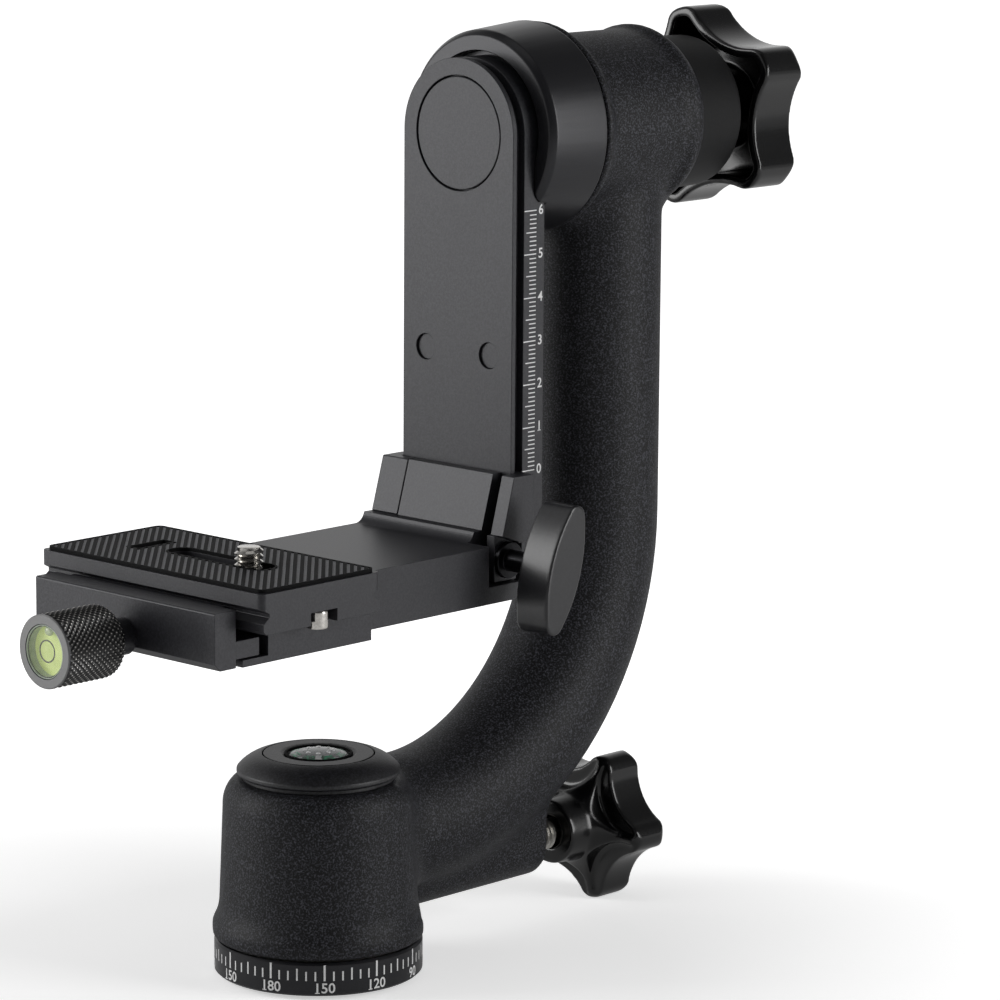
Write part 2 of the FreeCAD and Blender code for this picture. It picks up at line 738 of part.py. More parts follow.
sub_part("compass_needle", extruded("CompassNeedle", "XY", [
    ("needle_half_length", "0"),
    ("0", "1.1"),
    ("-needle_half_length", "0"),
    ("0", "-1.1"),
], "needle_thickness", "needle_height"))
sub_part("compass_glass", turned("CompassGlass", [
    ("0", "glass_foot + glass_crown - glass_thickness"),
    ("compass_radius - 0.8", "glass_foot"),
    ("compass_radius - 0.1", "glass_foot"),
    ("compass_radius - 0.3", "glass_foot + 0.35"),
    ("1", "glass_foot + glass_crown", "-30"),
    ("0", "glass_foot + glass_crown"),
]))

# Tilt bearings: two flanged bronze bushes pressed into the tilt housing
bush_wall = "tilt_shaft_radius + running_gap"
for label, start, way in (("tilt_bush_front", "tilt_front", "1"), ("tilt_bush_rear", "tilt_back", "-1")):
    sub_part(label, turned(label.title().replace("_", ""), [
        (start, bush_wall),
        (start, "tilt_bush_radius"),
        (f"{start} + {way} * tilt_bush_length", "tilt_bush_radius"),
        (f"{start} + {way} * tilt_bush_length", bush_wall),
    ], "X", ("0", "0", "tilt_height")))

# End cap behind the tilt housing
sub_part("tilt_end_cap", turned("TiltEndCap", [
    ("tilt_back", "tilt_shaft_radius + seat_gap"),
    ("tilt_back", "tilt_cap_radius"),
    ("tilt_cap_end - 1", "tilt_cap_radius - 0.4"),
    ("tilt_cap_end", "tilt_cap_radius - 1.4"),
    ("tilt_cap_end", "tilt_shaft_radius + seat_gap"),
], "X", ("0", "0", "tilt_height")))

# Tilt hub: turned drum with a round recess and a slot that take the height rail
hub_drum = turned("HubDrum", [
    ("hub_front", "tilt_shaft_radius"),
    ("hub_front", "hub_front_radius - 0.4"),
    ("hub_front + 0.4", "hub_front_radius"),
    ("hub_front + 1.8", "hub_front_radius + 0.9", "6"),
    ("hub_back - 0.5", "hub_back_radius"),
    ("hub_back", "hub_back_radius - 0.5"),
    ("hub_back", "tilt_shaft_radius"),
], "X", ("0", "0", "tilt_height"))
sub_part("tilt_hub", cut(
    "TiltHub", hub_drum,
    cylinder("HubRecess", "hub_recess_radius", "rail_back - hub_front + 1",
             ("hub_front - 1", "0", "tilt_height"), "X"),
    box("HubSlot", ("hub_front - 1", "-rail_half_width - seat_gap", "tilt_height - hub_back_radius - 1"),
        ("rail_back", "rail_half_width + seat_gap", "tilt_height")),
))

# Steel tilt shaft, pressed into the hub, with a threaded tail for the lock knob
shaft_front = "rail_back"
sub_part("tilt_shaft", turned("TiltShaft", [
    (shaft_front, "hub_screw_radius"),
    (shaft_front, "tilt_shaft_radius"),
    ("tilt_cap_end - 1", "tilt_shaft_radius"),
    ("tilt_cap_end - 1", "tilt_thread_radius"),
    ("tilt_shaft_end - 1", "tilt_thread_radius"),
    ("tilt_shaft_end", "tilt_thread_radius - 1"),
    ("tilt_shaft_end", "0"),
    ("hub_screw_end + 2", "0"),
    ("hub_screw_end + 2", "hub_screw_radius"),
], "X", ("0", "0", "tilt_height")))

# Friction ring that sits proud of the hub's back face
sub_part("tilt_friction_ring", turned("TiltFrictionRing", [
    ("hub_back", "tilt_bush_radius + 1"),
    ("hub_back", "friction_ring_radius"),
    ("tilt_front", "friction_ring_radius"),
    ("tilt_front", "tilt_bush_radius + 1"),
], "X", ("0", "0", "tilt_height")))

# Height rail: grooved bar with a round head, and holes for the hub screw and the two plugs
RAIL_SECTION = [
    ("rail_front", "rail_half_width"),
    ("rail_front + rail_flange", "rail_half_width"),
    ("rail_front + rail_groove_start", "rail_half_width - rail_groove_depth"),
    ("rail_front + rail_groove_end", "rail_half_width - rail_groove_depth"),
    ("rail_front + rail_groove_end", "rail_half_width"),
    ("rail_back", "rail_half_width"),
]
rail_bar = extruded("RailBar", "XY",
                    RAIL_SECTION + [(x, f"-({y})") for x, y in reversed(RAIL_SECTION)],
                    "tilt_height - rail_bottom", "rail_bottom")
rail_head = turned("RailHead", [("rail_front", "0")] + RAIL_SECTION + [("rail_back", "0")],
                   "X", ("0", "0", "tilt_height"))
rail_blank = fuse("RailBlank", rail_bar, rail_head)
plug_places = [f"{side} * plug_spacing / 2" for side in ("1", "-1")]
rail_tools = [
    cylinder("RailCapSeat", "rail_cap_radius + running_gap", "rail_cap_thickness + 1",
             ("rail_front - 1", "0", "tilt_height"), "X"),
    cylinder("HubScrewSeat", "hub_screw_head + 0.2", "hub_screw_head_height",
             ("rail_front + rail_cap_thickness", "0", "tilt_height"), "X"),
    cylinder("HubScrewHole", "hub_screw_radius + 0.2", "20", ("rail_front", "0", "tilt_height"), "X"),
]
rail_plug_pieces = []
for number, place in enumerate(plug_places):
    at = ("rail_front", place, "plug_height")
    rail_tools.append(cylinder(f"PlugHole{number}", "plug_radius", "plug_length", at, "X"))
    rail_plug_pieces.append(cylinder(f"Plug{number}", "plug_radius", "plug_length", at, "X"))
sub_part("height_rail", cut("HeightRail", rail_blank, *rail_tools))
rail_plugs = doc.addObject("Part::Compound", "RailPlugs")
rail_plugs.Links = rail_plug_pieces
sub_part("rail_plugs", rail_plugs)
sub_part("rail_cap", cylinder("RailCap", "rail_cap_radius", "rail_cap_thickness",
                              ("rail_front", "0", "tilt_height"), "X"))
head_seat = "rail_front + rail_cap_thickness"
hub_screw_blank = turned("HubScrewBlank", [
    (head_seat, "0"),
    (head_seat, "hub_screw_head"),
    (f"{head_seat} + hub_screw_head_height", "hub_screw_head"),
    (f"{head_seat} + hub_screw_head_height", "hub_screw_radius"),
    ("hub_screw_end", "hub_screw_radius"),
    ("hub_screw_end", "0"),
], "X", ("0", "0", "tilt_height"))
hexagon = doc.addObject("Part::Prism", "HexSocket")
hexagon.Polygon = 6
bind(hexagon, Circumradius="hub_screw_head / 2", Height="hub_screw_head_height - 1.5")
put(hexagon, (head_seat, "0", "tilt_height"), ALONG["X"])
sub_part("hub_screw", cut("HubScrew", hub_screw_blank, hexagon))

# Tilt lock: thrust washer, hollow star knob and its brass thread insert
washer_back = "tilt_cap_end + tilt_washer_thickness"
sub_part("tilt_thrust_washer", turned("TiltThrustWasher", [
    ("tilt_cap_end", "tilt_thread_radius + 0.1"),
    ("tilt_cap_end", "tilt_washer_radius"),
    (washer_back, "tilt_washer_radius"),
    (washer_back, "tilt_thread_radius + 0.1"),
], "X", ("0", "0", "tilt_height")))
insert_end = "tilt_shaft_end + 0.8"
sub_part("tilt_lock_insert", turned("TiltLockInsert", [
    (washer_back, "tilt_thread_radius + running_gap"),
    (washer_back, "tilt_insert_radius"),
    (insert_end, "tilt_insert_radius"),
    (insert_end, "tilt_thread_radius + running_gap"),
], "X", ("0", "0", "tilt_height")))
knob_skin = turned("TiltKnobSkin", [
    ("tilt_knob_start", "0"),
    ("tilt_knob_start", "tilt_knob_radius - 0.6"),
    ("tilt_knob_start + 0.6", "tilt_knob_radius"),
    ("tilt_knob_end - 2", "tilt_knob_radius"),
    ("tilt_knob_end", "tilt_knob_radius - 2.2", "2.6"),
    ("tilt_knob_end", "0"),
], "X", ("0", "0", "tilt_height"))
tilt_lobes = star_bar("TiltKnob", "tilt_knob_radius", "tilt_knob_valley", "tilt_flute_radius",
                      "tilt_knob_tip", "tilt_knob_start - 1", "tilt_knob_end - tilt_knob_start + 2",
                      "tilt_height", "tilt_knob_turn")
knob_outer = common("TiltKnobOuter", knob_skin, tilt_lobes)
knob_hollow = star_bar("TiltHollow", "tilt_knob_radius - tilt_knob_wall",
                       "tilt_knob_valley - tilt_knob_wall", "tilt_flute_radius + tilt_knob_wall",
                       "tilt_knob_tip - tilt_knob_wall", "tilt_knob_start - 1",
                       "tilt_knob_end - tilt_knob_start - tilt_knob_wall + 1", "tilt_height",
                       "tilt_knob_turn")
knob_shell = cut("TiltKnobShell", knob_outer, knob_hollow)
knob_boss = cylinder("TiltKnobBoss", "tilt_knob_boss", f"tilt_knob_end - 1 - ({washer_back})",
                     (washer_back, "0", "tilt_height"), "X")
knob_body = fuse("TiltKnobBody", knob_shell, knob_boss)
sub_part("tilt_lock_knob", cut(
    "TiltLockKnob", knob_body,
    cylinder("InsertBore", "tilt_insert_radius", f"{insert_end} - ({washer_back}) + 1",
             (f"{washer_back} - 1", "0", "tilt_height"), "X"),
))

# L bracket: platform, cove and upright block, milled from one piece
bracket_back = "rail_front - seat_gap"
bracket_profile = extruded("BracketProfile", "XZ", [
    ("platform_end", "platform_bottom"),
    (f"{bracket_back} - platform_heel_radius", "platform_bottom"),
    (bracket_back, "platform_bottom + platform_heel_radius", "-platform_heel_radius"),
    (bracket_back, "block_top"),
    ("block_top_front", "block_top"),
    ("block_foot_front", "block_foot"),
    ("cove_ledge", "block_foot"),
    ("cove_front", "platform_top", "3"),
    ("platform_end", "platform_top"),
], "2 * platform_half_width")
lap = box("Lap", ("platform_end - lap_length", "-platform_half_width", "platform_bottom"),
          ("platform_end + 1", "platform_half_width", "platform_bottom + lap_height"))


def cheek(name, side):
    """The dovetail lip and cheek beside the rail, as an upright prism on one side of it."""
    section = [
        ("rail_front + rail_flange + 0.1", "cheek_inner"),
        ("rail_front + rail_groove_start + 0.25", "rail_half_width - rail_groove_depth + seat_gap"),
        ("cheek_back", "rail_half_width - rail_groove_depth + seat_gap"),
        ("cheek_back", "platform_half_width"),
        (bracket_back + " - 1", "platform_half_width"),
        (bracket_back + " - 1", "cheek_inner"),
    ]
    return extruded(name, "XY", [(x, f"{side} * ({y})") for x, y in section],
                    "block_top - cheek_foot", "cheek_foot")


bracket_blank = fuse("BracketBlank", bracket_profile, lap)
stud_hole = cylinder("StudHole", "stud_radius + running_gap", "recess_inner + 6",
                     ("stud_x", "-recess_inner - 1", "stud_height"), "Y")
lap_holes = []
for number, side in enumerate(("1", "-1")):
    at = ("lap_screw_x", f"{side} * lap_screw_spacing / 2", "platform_bottom")
    lap_holes.append(cylinder(f"LapHole{number}", "lap_screw_radius + 0.2", "20", at))
    lap_holes.append(cone(f"LapSink{number}", "lap_screw_head", "lap_screw_radius",
                          "lap_screw_head - lap_screw_radius", at))
sub_part("l_bracket", cut(
    "LBracket", bracket_blank,
    box("JawSlot", ("block_foot_front - 9", "-platform_half_width - 1", "block_foot"),
        ("cheek_back + 1", "-jaw_slot_inner", "block_top + 1")),
    box("FixedJawStep", ("block_foot_front - 9", "cheek_seam", "block_foot"),
        ("cheek_back + 1", "platform_half_width + 1", "block_top + 1")),
    box("FixedCheekStep", (bracket_back + " - 1", "cheek_inner", "cheek_foot"),
        ("cheek_back", "platform_half_width + 1", "block_foot + 1")),
    box("LugRecess", ("recess_front", "-platform_half_width - 1", "recess_floor"),
        ("cheek_back + 1", "-recess_inner", "block_foot + 1")),
    stud_hole, *lap_holes,
))

# Fixed rail jaw, bolted to the far side of the block
sub_part("fixed_rail_jaw", fuse(
    "FixedRailJaw",
    extruded("FixedJawFront", "XZ", [
        ("block_foot_front", "block_foot"),
        (bracket_back, "block_foot"),
        (bracket_back, "block_top"),
        ("block_top_front", "block_top"),
    ], "platform_half_width - cheek_seam", "-platform_half_width"),
    cheek("FixedCheek", "1"),
))

# Movable rail jaw: outer cheek with a dovetail lip and a lug that the stud's collar pushes
jaw_front_piece = extruded("RailJawFront", "XZ", [
    ("block_foot_front", "block_foot - 0.6"),
    (bracket_back, "cheek_foot"),
    (bracket_back, "block_top"),
    ("block_top_front", "block_top"),
], "platform_half_width - jaw_slot_outer", "jaw_slot_outer")
moving_cheek = cheek("MovingCheek", "-1")
jaw_lug = box("RailJawLug", ("stud_x - stud_radius - 1.5", "-lug_outer", "recess_floor + seat_gap"),
              (bracket_back, "-lug_outer + lug_thickness", "block_foot - 0.6"))
rail_jaw_blank = fuse("RailJawBlank", jaw_front_piece, moving_cheek, jaw_lug)
lug_hole = cylinder("LugHole", "stud_radius + 0.2", "10", ("stud_x", "-lug_outer - 2", "stud_height"), "Y")
sub_part("rail_clamp_jaw", cut("RailClampJaw", rail_jaw_blank, lug_hole))

# Height lock: steel stud with a push collar, and the oval paddle moulded on it
sub_part("height_lock_stud", fuse(
    "HeightLockStud",
    cylinder("StudRod", "stud_radius", "paddle_face - 2 - stud_tip",
             ("stud_x", "-paddle_face + 2", "stud_height"), "Y"),
    cylinder("StudCollar", "stud_collar_radius", "stud_collar_outer - lug_outer",
             ("stud_x", "-stud_collar_outer", "stud_height"), "Y"),
))
half_width = "paddle_width / 2"
tip_reach = "(paddle_length / 2 - paddle_tip)"
side_radius = f"(({tip_reach}^2 + ({half_width})^2 - paddle_tip^2) / (paddle_width - 2 * paddle_tip))"
tip_x = f"paddle_tip * ({side_radius} - {half_width}) / ({side_radius} - paddle_tip)"
tip_z = f"{tip_reach} + paddle_tip * {tip_reach} / ({side_radius} - paddle_tip)"
paddle_blank = extruded("PaddleBlank", "XZ", [
    (tip_x, tip_z, "paddle_tip"),
    (tip_x, f"-({tip_z})", side_radius),
    (f"-({tip_x})", f"-({tip_z})", "paddle_tip"),
    (f"-({tip_x})", tip_z, side_radius),
], "paddle_thickness", "paddle_face - paddle_thickness", ("stud_x", "0", "stud_height"))
paddle_blank.Placement.Rotation = FreeCAD.Rotation(Vector(0, 1, 0), mm("paddle_lean"))
bind(paddle_blank, Placement__Rotation__Angle="paddle_lean")
sub_part("height_lock_paddle", cut(
    "HeightLockPaddle", paddle_blank,
    cylinder("PaddleBore", "stud_radius", "paddle_face", ("stud_x", "-paddle_face + 2", "stud_height"), "Y"),
))

# Quick-release clamp: fixed base screwed over the bracket's lap
deck_profile = extruded("DeckProfile", "XZ", [
    ("clamp_lip_front", "platform_bottom"),
    ("platform_end", "platform_bottom"),
    ("platform_end", "ridge_top"),
    ("2 * plate_middle - jaw_back - 1.3", "ridge_top"),
    ("2 * plate_middle - jaw_back - 2.6", "ridge_top - 0.55"),
    ("2 * plate_middle - jaw_back - 2.6", "ridge_top - 1.2"),
    ("2 * plate_middle - jaw_back - 1.2", "ridge_top - 2.25"),
    ("2 * plate_middle - jaw_back - 1.2", "clamp_deck"),
    ("clamp_body_front", "clamp_deck"),
    ("clamp_body_front", "platform_bottom + clamp_lip_height"),
    ("clamp_lip_front", "platform_bottom + clamp_lip_height"),
], "2 * clamp_half_length")
clamp_tools = [
    box("LapPocket", ("platform_end - lap_length", "-platform_half_width", "platform_bottom - 1"),
        ("platform_end + 1", "platform_half_width", "platform_bottom + lap_height")),
    cylinder("ClampThread", "clamp_screw_radius + running_gap", "clamp_screw_end + 0.8 - clamp_lip_front",
             ("clamp_lip_front", "0", "clamp_axis_height"), "X"),
]
guide_pins = []
for number, side in enumerate(("1", "-1")):
    lap_y = f"{side} * lap_screw_spacing / 2"
    pin_y = f"{side} * guide_pin_spacing / 2"
    clamp_tools.append(cylinder(f"LapThread{number}", "lap_screw_radius", "lap_screw_top - platform_bottom",
                                ("lap_screw_x", lap_y, "platform_bottom")))
    clamp_tools.append(cylinder(f"PinBore{number}", "guide_pin_radius + running_gap",
                                "guide_pin_end + 1 - clamp_lip_front",
                                ("clamp_lip_front", pin_y, "clamp_axis_height"), "X"))
    guide_pins.append(cylinder(f"GuidePin{number}", "guide_pin_radius",
                               "guide_pin_end - jaw_back + guide_pin_seat",
                               ("jaw_back - guide_pin_seat", pin_y, "clamp_axis_height"), "X"))
sub_part("clamp_base", cut("ClampBase", deck_profile, *clamp_tools))

lap_screws = []
for number, side in enumerate(("1", "-1")):
    lap_y = f"{side} * lap_screw_spacing / 2"
    shank = cylinder(f"LapShank{number}", "lap_screw_radius", "lap_screw_top - platform_bottom",
                     ("lap_screw_x", lap_y, "platform_bottom"))
    head = cone(f"LapHead{number}", "lap_screw_head", "lap_screw_radius",
                "lap_screw_head - lap_screw_radius", ("lap_screw_x", lap_y, "platform_bottom"))
    lap_screws.append(fuse(f"LapScrew{number}", shank, head))
clamp_base_screws = doc.addObject("Part::Compound", "ClampBaseScrews")
clamp_base_screws.Links = lap_screws
sub_part("clamp_base_screws", clamp_base_screws)

# Moving jaw with its dovetail lip and tongue, and the pins that guide it
jaw_bar = extruded("JawBar", "XZ", [
    ("jaw_front + jaw_chamfer", "jaw_bottom"),
    ("jaw_back", "jaw_bottom"),
    ("jaw_back", "jaw_top"),
    ("jaw_front + 0.3", "jaw_top"),
    ("jaw_front", "jaw_top - 0.3"),
    ("jaw_front", "jaw_bottom + jaw_chamfer"),
], "2 * clamp_half_length")
jaw_lip = extruded("JawLip", "XZ", [
    ("jaw_back - 0.5", "jaw_top"),
    ("jaw_back + 1.3", "jaw_top"),
    ("jaw_back + 2.6", "jaw_top - 0.55"),
    ("jaw_back + 2.6", "jaw_top - 1.2"),
    ("jaw_back + 1.2", "jaw_top - 2.25"),
    ("jaw_back - 0.5", "jaw_top - 2.25"),
], "2 * clamp_half_length - 9")
jaw_tongue = box("JawTongue", ("jaw_back - 0.5", "-clamp_half_length + 0.2", "tongue_bottom"),
                 ("tongue_end", "clamp_half_length - 0.2", "tongue_top"))
jaw_blank = fuse("JawBlank", jaw_bar, jaw_lip, jaw_tongue)
jaw_tools = [cylinder("JawScrewHole", "clamp_screw_radius + 0.15", "20",
                      ("jaw_front - 1", "0", "clamp_axis_height"), "X")]
for number, side in enumerate(("1", "-1")):
    jaw_tools.append(cylinder(f"JawPinHole{number}", "guide_pin_radius", "10",
                              ("jaw_back - guide_pin_seat", f"{side} * guide_pin_spacing / 2",
                               "clamp_axis_height"), "X"))
sub_part("clamp_jaw", cut("ClampJaw", jaw_blank, *jaw_tools))
jaw_guide_pins = doc.addObject("Part::Compound", "JawGuidePins")
jaw_guide_pins.Links = guide_pins
sub_part("jaw_guide_pins", jaw_guide_pins)

# Clamp knob with its screw and the bubble level let into its end
vial_floor = "clamp_knob_face + vial_depth + lens_thickness"
sub_part("clamp_knob", turned("ClampKnob", [
    ("clamp_knob_face", "vial_radius"),
    ("clamp_knob_face", "clamp_knob_radius - 0.5"),
    ("clamp_knob_face + 0.5", "clamp_knob_radius"),
    ("clamp_knob_back - 2.2", "clamp_knob_radius"),
    ("clamp_knob_back", "clamp_knob_radius - 2.2", "2.4"),
    ("clamp_knob_back", "clamp_knob_neck"),
    ("jaw_front", "clamp_knob_neck"),
    ("jaw_front", "clamp_screw_radius"),
    (vial_floor + " + 1", "clamp_screw_radius"),
    (vial_floor + " + 1", "0"),
    (vial_floor, "0"),
    (vial_floor, "vial_radius"),
], "X", ("0", "0", "clamp_axis_height")))
sub_part("clamp_screw", turned("ClampScrew", [
    (vial_floor + " + 1", "0"),
    (vial_floor + " + 1", "clamp_screw_radius"),
    ("clamp_screw_end - 1", "clamp_screw_radius"),
    ("clamp_screw_end", "clamp_screw_radius - 1"),
    ("clamp_screw_end", "0"),
], "X", ("0", "0", "clamp_axis_height")))
sub_part("level_vial", cylinder("LevelVial", "vial_radius", "vial_depth",
                                ("clamp_knob_face + lens_thickness", "0", "clamp_axis_height"), "X"))
sub_part("level_lens", cylinder("LevelLens", "vial_radius", "lens_thickness",
                                ("clamp_knob_face", "0", "clamp_axis_height"), "X"))

# Quick-release plate with dovetail sides, slots and an underside channel
plate_left = "plate_middle - plate_half_width"
flange_foot = "plate_top - plate_flange"
PLATE_SIDE = [
    ("plate_half_width", "plate_top"),
    ("plate_half_width", flange_foot),
    ("plate_half_width - plate_groove_depth", f"{flange_foot} - 1.1"),
    ("plate_half_width - plate_groove_depth", f"{flange_foot} - 1.9"),
    ("plate_half_width - plate_foot_inset", f"{flange_foot} - 3.2"),
    ("plate_half_width - plate_foot_inset", "clamp_deck + 0.8"),
    ("plate_half_width - plate_foot_inset - 0.8", "clamp_deck"),
]
plate_bar = extruded(
    "PlateBar", "XZ",
    [(f"plate_middle + {x}", z) for x, z in PLATE_SIDE]
    + [(f"plate_middle - ({x})", z) for x, z in reversed(PLATE_SIDE)],
    "2 * plate_half_length")
plate_blank = rounded(
    "PlateBlank", plate_bar, "plate_corner",
    lambda edge: near(bounds(edge).ZMax, "plate_top") and near(bounds(edge).ZMin, flange_foot)
    and bounds(edge).XLength < 0.01)


def slotted(name, low, high):
    """A slot cutter with round ends: a box between low and high with a cylinder at each end of Y."""
    radius = f"(({high[0]}) - ({low[0]})) / 2"
    middle = f"(({high[0]}) + ({low[0]})) / 2"
    depth = f"({high[2]}) - ({low[2]})"
    near_end = f"({low[1]}) + {radius}"
    far_end = f"({high[1]}) - {radius}"
    return fuse(
        name,
        box(name + "Middle", (low[0], near_end, low[2]), (high[0], far_end, high[2])),
        cylinder(name + "Near", radius, depth, (middle, near_end, low[2])),
        cylinder(name + "Far", radius, depth, (middle, far_end, low[2])),
    )


def slot_cutters(name):
    """The long slot for the camera screw and the short cross slot, right through plate and pad."""
    return [
        slotted(name + "LongSlot",
                ("slot_x - slot_half_width", "slot_near", "clamp_deck - 1"),
                ("slot_x + slot_half_width", "slot_far", "plate_top + pad_thickness + 1")),
        box(name + "CrossSlot",
            ("slot_x - cross_slot_half_length", "cross_slot_y - cross_slot_half_width", "clamp_deck - 1"),
            ("slot_x + cross_slot_half_length", "cross_slot_y + cross_slot_half_width",
             "plate_top + pad_thickness + 1")),
    ]


stop_tools = []
stop_screws = []
for number, side in enumerate(("1", "-1")):
    stop_y = f"{side} * stop_screw_y"
    foot = "clamp_deck + plate_channel_depth"
    stop_tools.append(cylinder(f"StopHole{number}", "stop_shank_radius", "stop_shank_length",
                               ("slot_x", stop_y, foot)))
    stop_screws.append(fuse(
        f"StopScrew{number}",
        cylinder(f"StopHead{number}", "stop_head_radius", f"{foot} - stop_head_bottom",
                 ("slot_x", stop_y, "stop_head_bottom")),
        cylinder(f"StopShank{number}", "stop_shank_radius", "stop_shank_length", ("slot_x", stop_y, foot))))
sub_part("qr_plate", cut(
    "QrPlate", plate_blank,
    box("Channel", ("slot_x - plate_channel_half", "-plate_half_length - 1", "clamp_deck - 1"),
        ("slot_x + plate_channel_half", "plate_half_length + 1", "clamp_deck + plate_channel_depth")),
    box("Pocket", ("slot_x - pocket_half_width", "slot_near - 4", "clamp_deck - 1"),
        ("slot_x + pocket_half_width", "slot_far + 4", "clamp_deck + pocket_depth")),
    *slot_cutters("Plate"), *stop_tools,
))
plate_stop_screws = doc.addObject("Part::Compound", "PlateStopScrews")
plate_stop_screws.Links = stop_screws
sub_part("plate_stop_screws", plate_stop_screws)
pad_sheet = box("PadSheet",
                (f"{plate_left} + pad_margin", "-plate_half_length + pad_margin", "plate_top"),
                ("plate_middle + plate_half_width - pad_margin", "plate_half_length - pad_margin",
                 "plate_top + pad_thickness"))
pad_blank = rounded("PadBlank", pad_sheet, "plate_corner",
                    lambda edge: bounds(edge).XLength + bounds(edge).YLength < 0.01)
sub_part("rubber_pad", cut("RubberPad", pad_blank, *slot_cutters("Pad")))

# Camera screw, captive in the plate's slot under a washer
head_top = "clamp_deck + pocket_depth - camera_washer_height"
thread_foot = "plate_top + pad_thickness + 0.1"
camera_bolt = turned("CameraBolt", [
    ("0", f"{head_top} - camera_head_height"),
    ("camera_head_radius", f"{head_top} - camera_head_height"),
    ("camera_head_radius", head_top),
    ("camera_neck_radius", head_top),
    ("camera_neck_radius", thread_foot),
    ("camera_screw_radius", thread_foot),
    ("camera_screw_radius", "camera_screw_top - 0.7"),
    ("camera_screw_radius - 0.7", "camera_screw_top"),
    ("0", "camera_screw_top"),
], "Z", ("slot_x", "camera_screw_y", "0"))
sub_part("camera_screw", cut(
    "CameraScrew", camera_bolt,
    box("DriveSlot",
        ("slot_x - camera_head_radius - 1", "camera_screw_y - 0.7",
         f"{head_top} - camera_head_height - 1"),
        ("slot_x + camera_head_radius + 1", "camera_screw_y + 0.7",
         f"{head_top} - camera_head_height + 1.2")),
))
sub_part("camera_screw_washer", turned("CameraScrewWasher", [
    ("camera_neck_radius + 0.1", head_top),
    ("camera_head_radius", head_top),
    ("camera_head_radius", f"{head_top} + camera_washer_height"),
    ("camera_neck_radius + 0.1", f"{head_top} + camera_washer_height"),
], "Z", ("slot_x", "camera_screw_y", "0")))

# Every object must be sound before anything is written
doc.recompute()
for thing in doc.Objects:
    if "Invalid" in thing.State or "Error" in thing.State:
        raise RuntimeError(f"{thing.Name} failed: {thing.State}")
for thing in sub_parts:
    if thing.Shape.isNull() or not thing.Shape.isValid() or not thing.Shape.Solids:
        raise RuntimeError(f"{thing.Label} has no valid solid")

os.makedirs("parts", exist_ok=True)
for thing in sub_parts:
    thing.Shape.exportStep(f"parts/{thing.Label}.step")
    print(f"{thing.Label:24s} {len(thing.Shape.Solids)} solid(s) {thing.Shape.Volume:10.1f} mm3")
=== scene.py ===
import json
import math

import bmesh
import bpy
from mathutils import Matrix, Vector

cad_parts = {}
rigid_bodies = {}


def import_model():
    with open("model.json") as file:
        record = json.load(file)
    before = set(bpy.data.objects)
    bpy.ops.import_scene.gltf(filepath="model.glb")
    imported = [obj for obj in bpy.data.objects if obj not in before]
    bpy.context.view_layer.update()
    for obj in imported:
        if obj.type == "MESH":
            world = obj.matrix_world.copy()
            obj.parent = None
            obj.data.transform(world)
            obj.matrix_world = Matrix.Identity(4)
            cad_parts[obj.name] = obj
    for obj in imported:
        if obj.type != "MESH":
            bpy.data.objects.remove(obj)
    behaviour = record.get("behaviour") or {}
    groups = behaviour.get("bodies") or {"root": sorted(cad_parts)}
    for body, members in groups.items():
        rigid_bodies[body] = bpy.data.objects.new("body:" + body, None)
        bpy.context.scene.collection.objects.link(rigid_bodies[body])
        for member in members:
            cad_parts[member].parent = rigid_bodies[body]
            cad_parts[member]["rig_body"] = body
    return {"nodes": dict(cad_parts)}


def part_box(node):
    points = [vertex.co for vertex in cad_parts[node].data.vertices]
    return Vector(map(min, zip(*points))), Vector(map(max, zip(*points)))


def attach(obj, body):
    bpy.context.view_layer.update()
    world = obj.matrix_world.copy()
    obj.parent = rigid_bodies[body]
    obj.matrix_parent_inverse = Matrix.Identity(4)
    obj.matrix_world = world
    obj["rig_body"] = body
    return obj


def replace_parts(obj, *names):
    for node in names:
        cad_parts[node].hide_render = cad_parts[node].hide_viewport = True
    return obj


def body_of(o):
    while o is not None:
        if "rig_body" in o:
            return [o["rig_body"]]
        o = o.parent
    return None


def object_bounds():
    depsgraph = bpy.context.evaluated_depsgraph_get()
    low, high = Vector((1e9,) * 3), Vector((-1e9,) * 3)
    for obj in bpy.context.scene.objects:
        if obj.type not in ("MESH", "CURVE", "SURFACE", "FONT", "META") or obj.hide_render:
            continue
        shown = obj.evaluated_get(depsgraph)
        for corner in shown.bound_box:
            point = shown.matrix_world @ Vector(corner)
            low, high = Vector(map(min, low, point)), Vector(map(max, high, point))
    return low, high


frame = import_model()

cad_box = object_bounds()
MM = 0.001


# The pan base's disc and spindle are one aluminium turning, anodised black. The degree scale round the
# disc counts to 180 both ways; its lines and numbers are engraved and filled with white paint.

def linear(code):
    """An sRGB hex colour as the linear RGBA that a shader socket takes."""
    parts = [int(code[i:i + 2], 16) / 255 for i in (1, 3, 5)]
    return tuple(p / 12.92 if p < 0.04045 else ((p + 0.055) / 1.055) ** 2.4 for p in parts) + (1.0,)


def add(material, kind, inputs=None, **properties):
    """Adds a node with its properties, and gives each input a value or the socket that feeds it."""
    node = material.node_tree.nodes.new(kind)
    for name, value in properties.items():
        setattr(node, name, value)
    for name, value in (inputs or {}).items():
        if isinstance(value, bpy.types.NodeSocket):
            material.node_tree.links.new(value, node.inputs[name])
        else:
            node.inputs[name].default_value = value
    return node


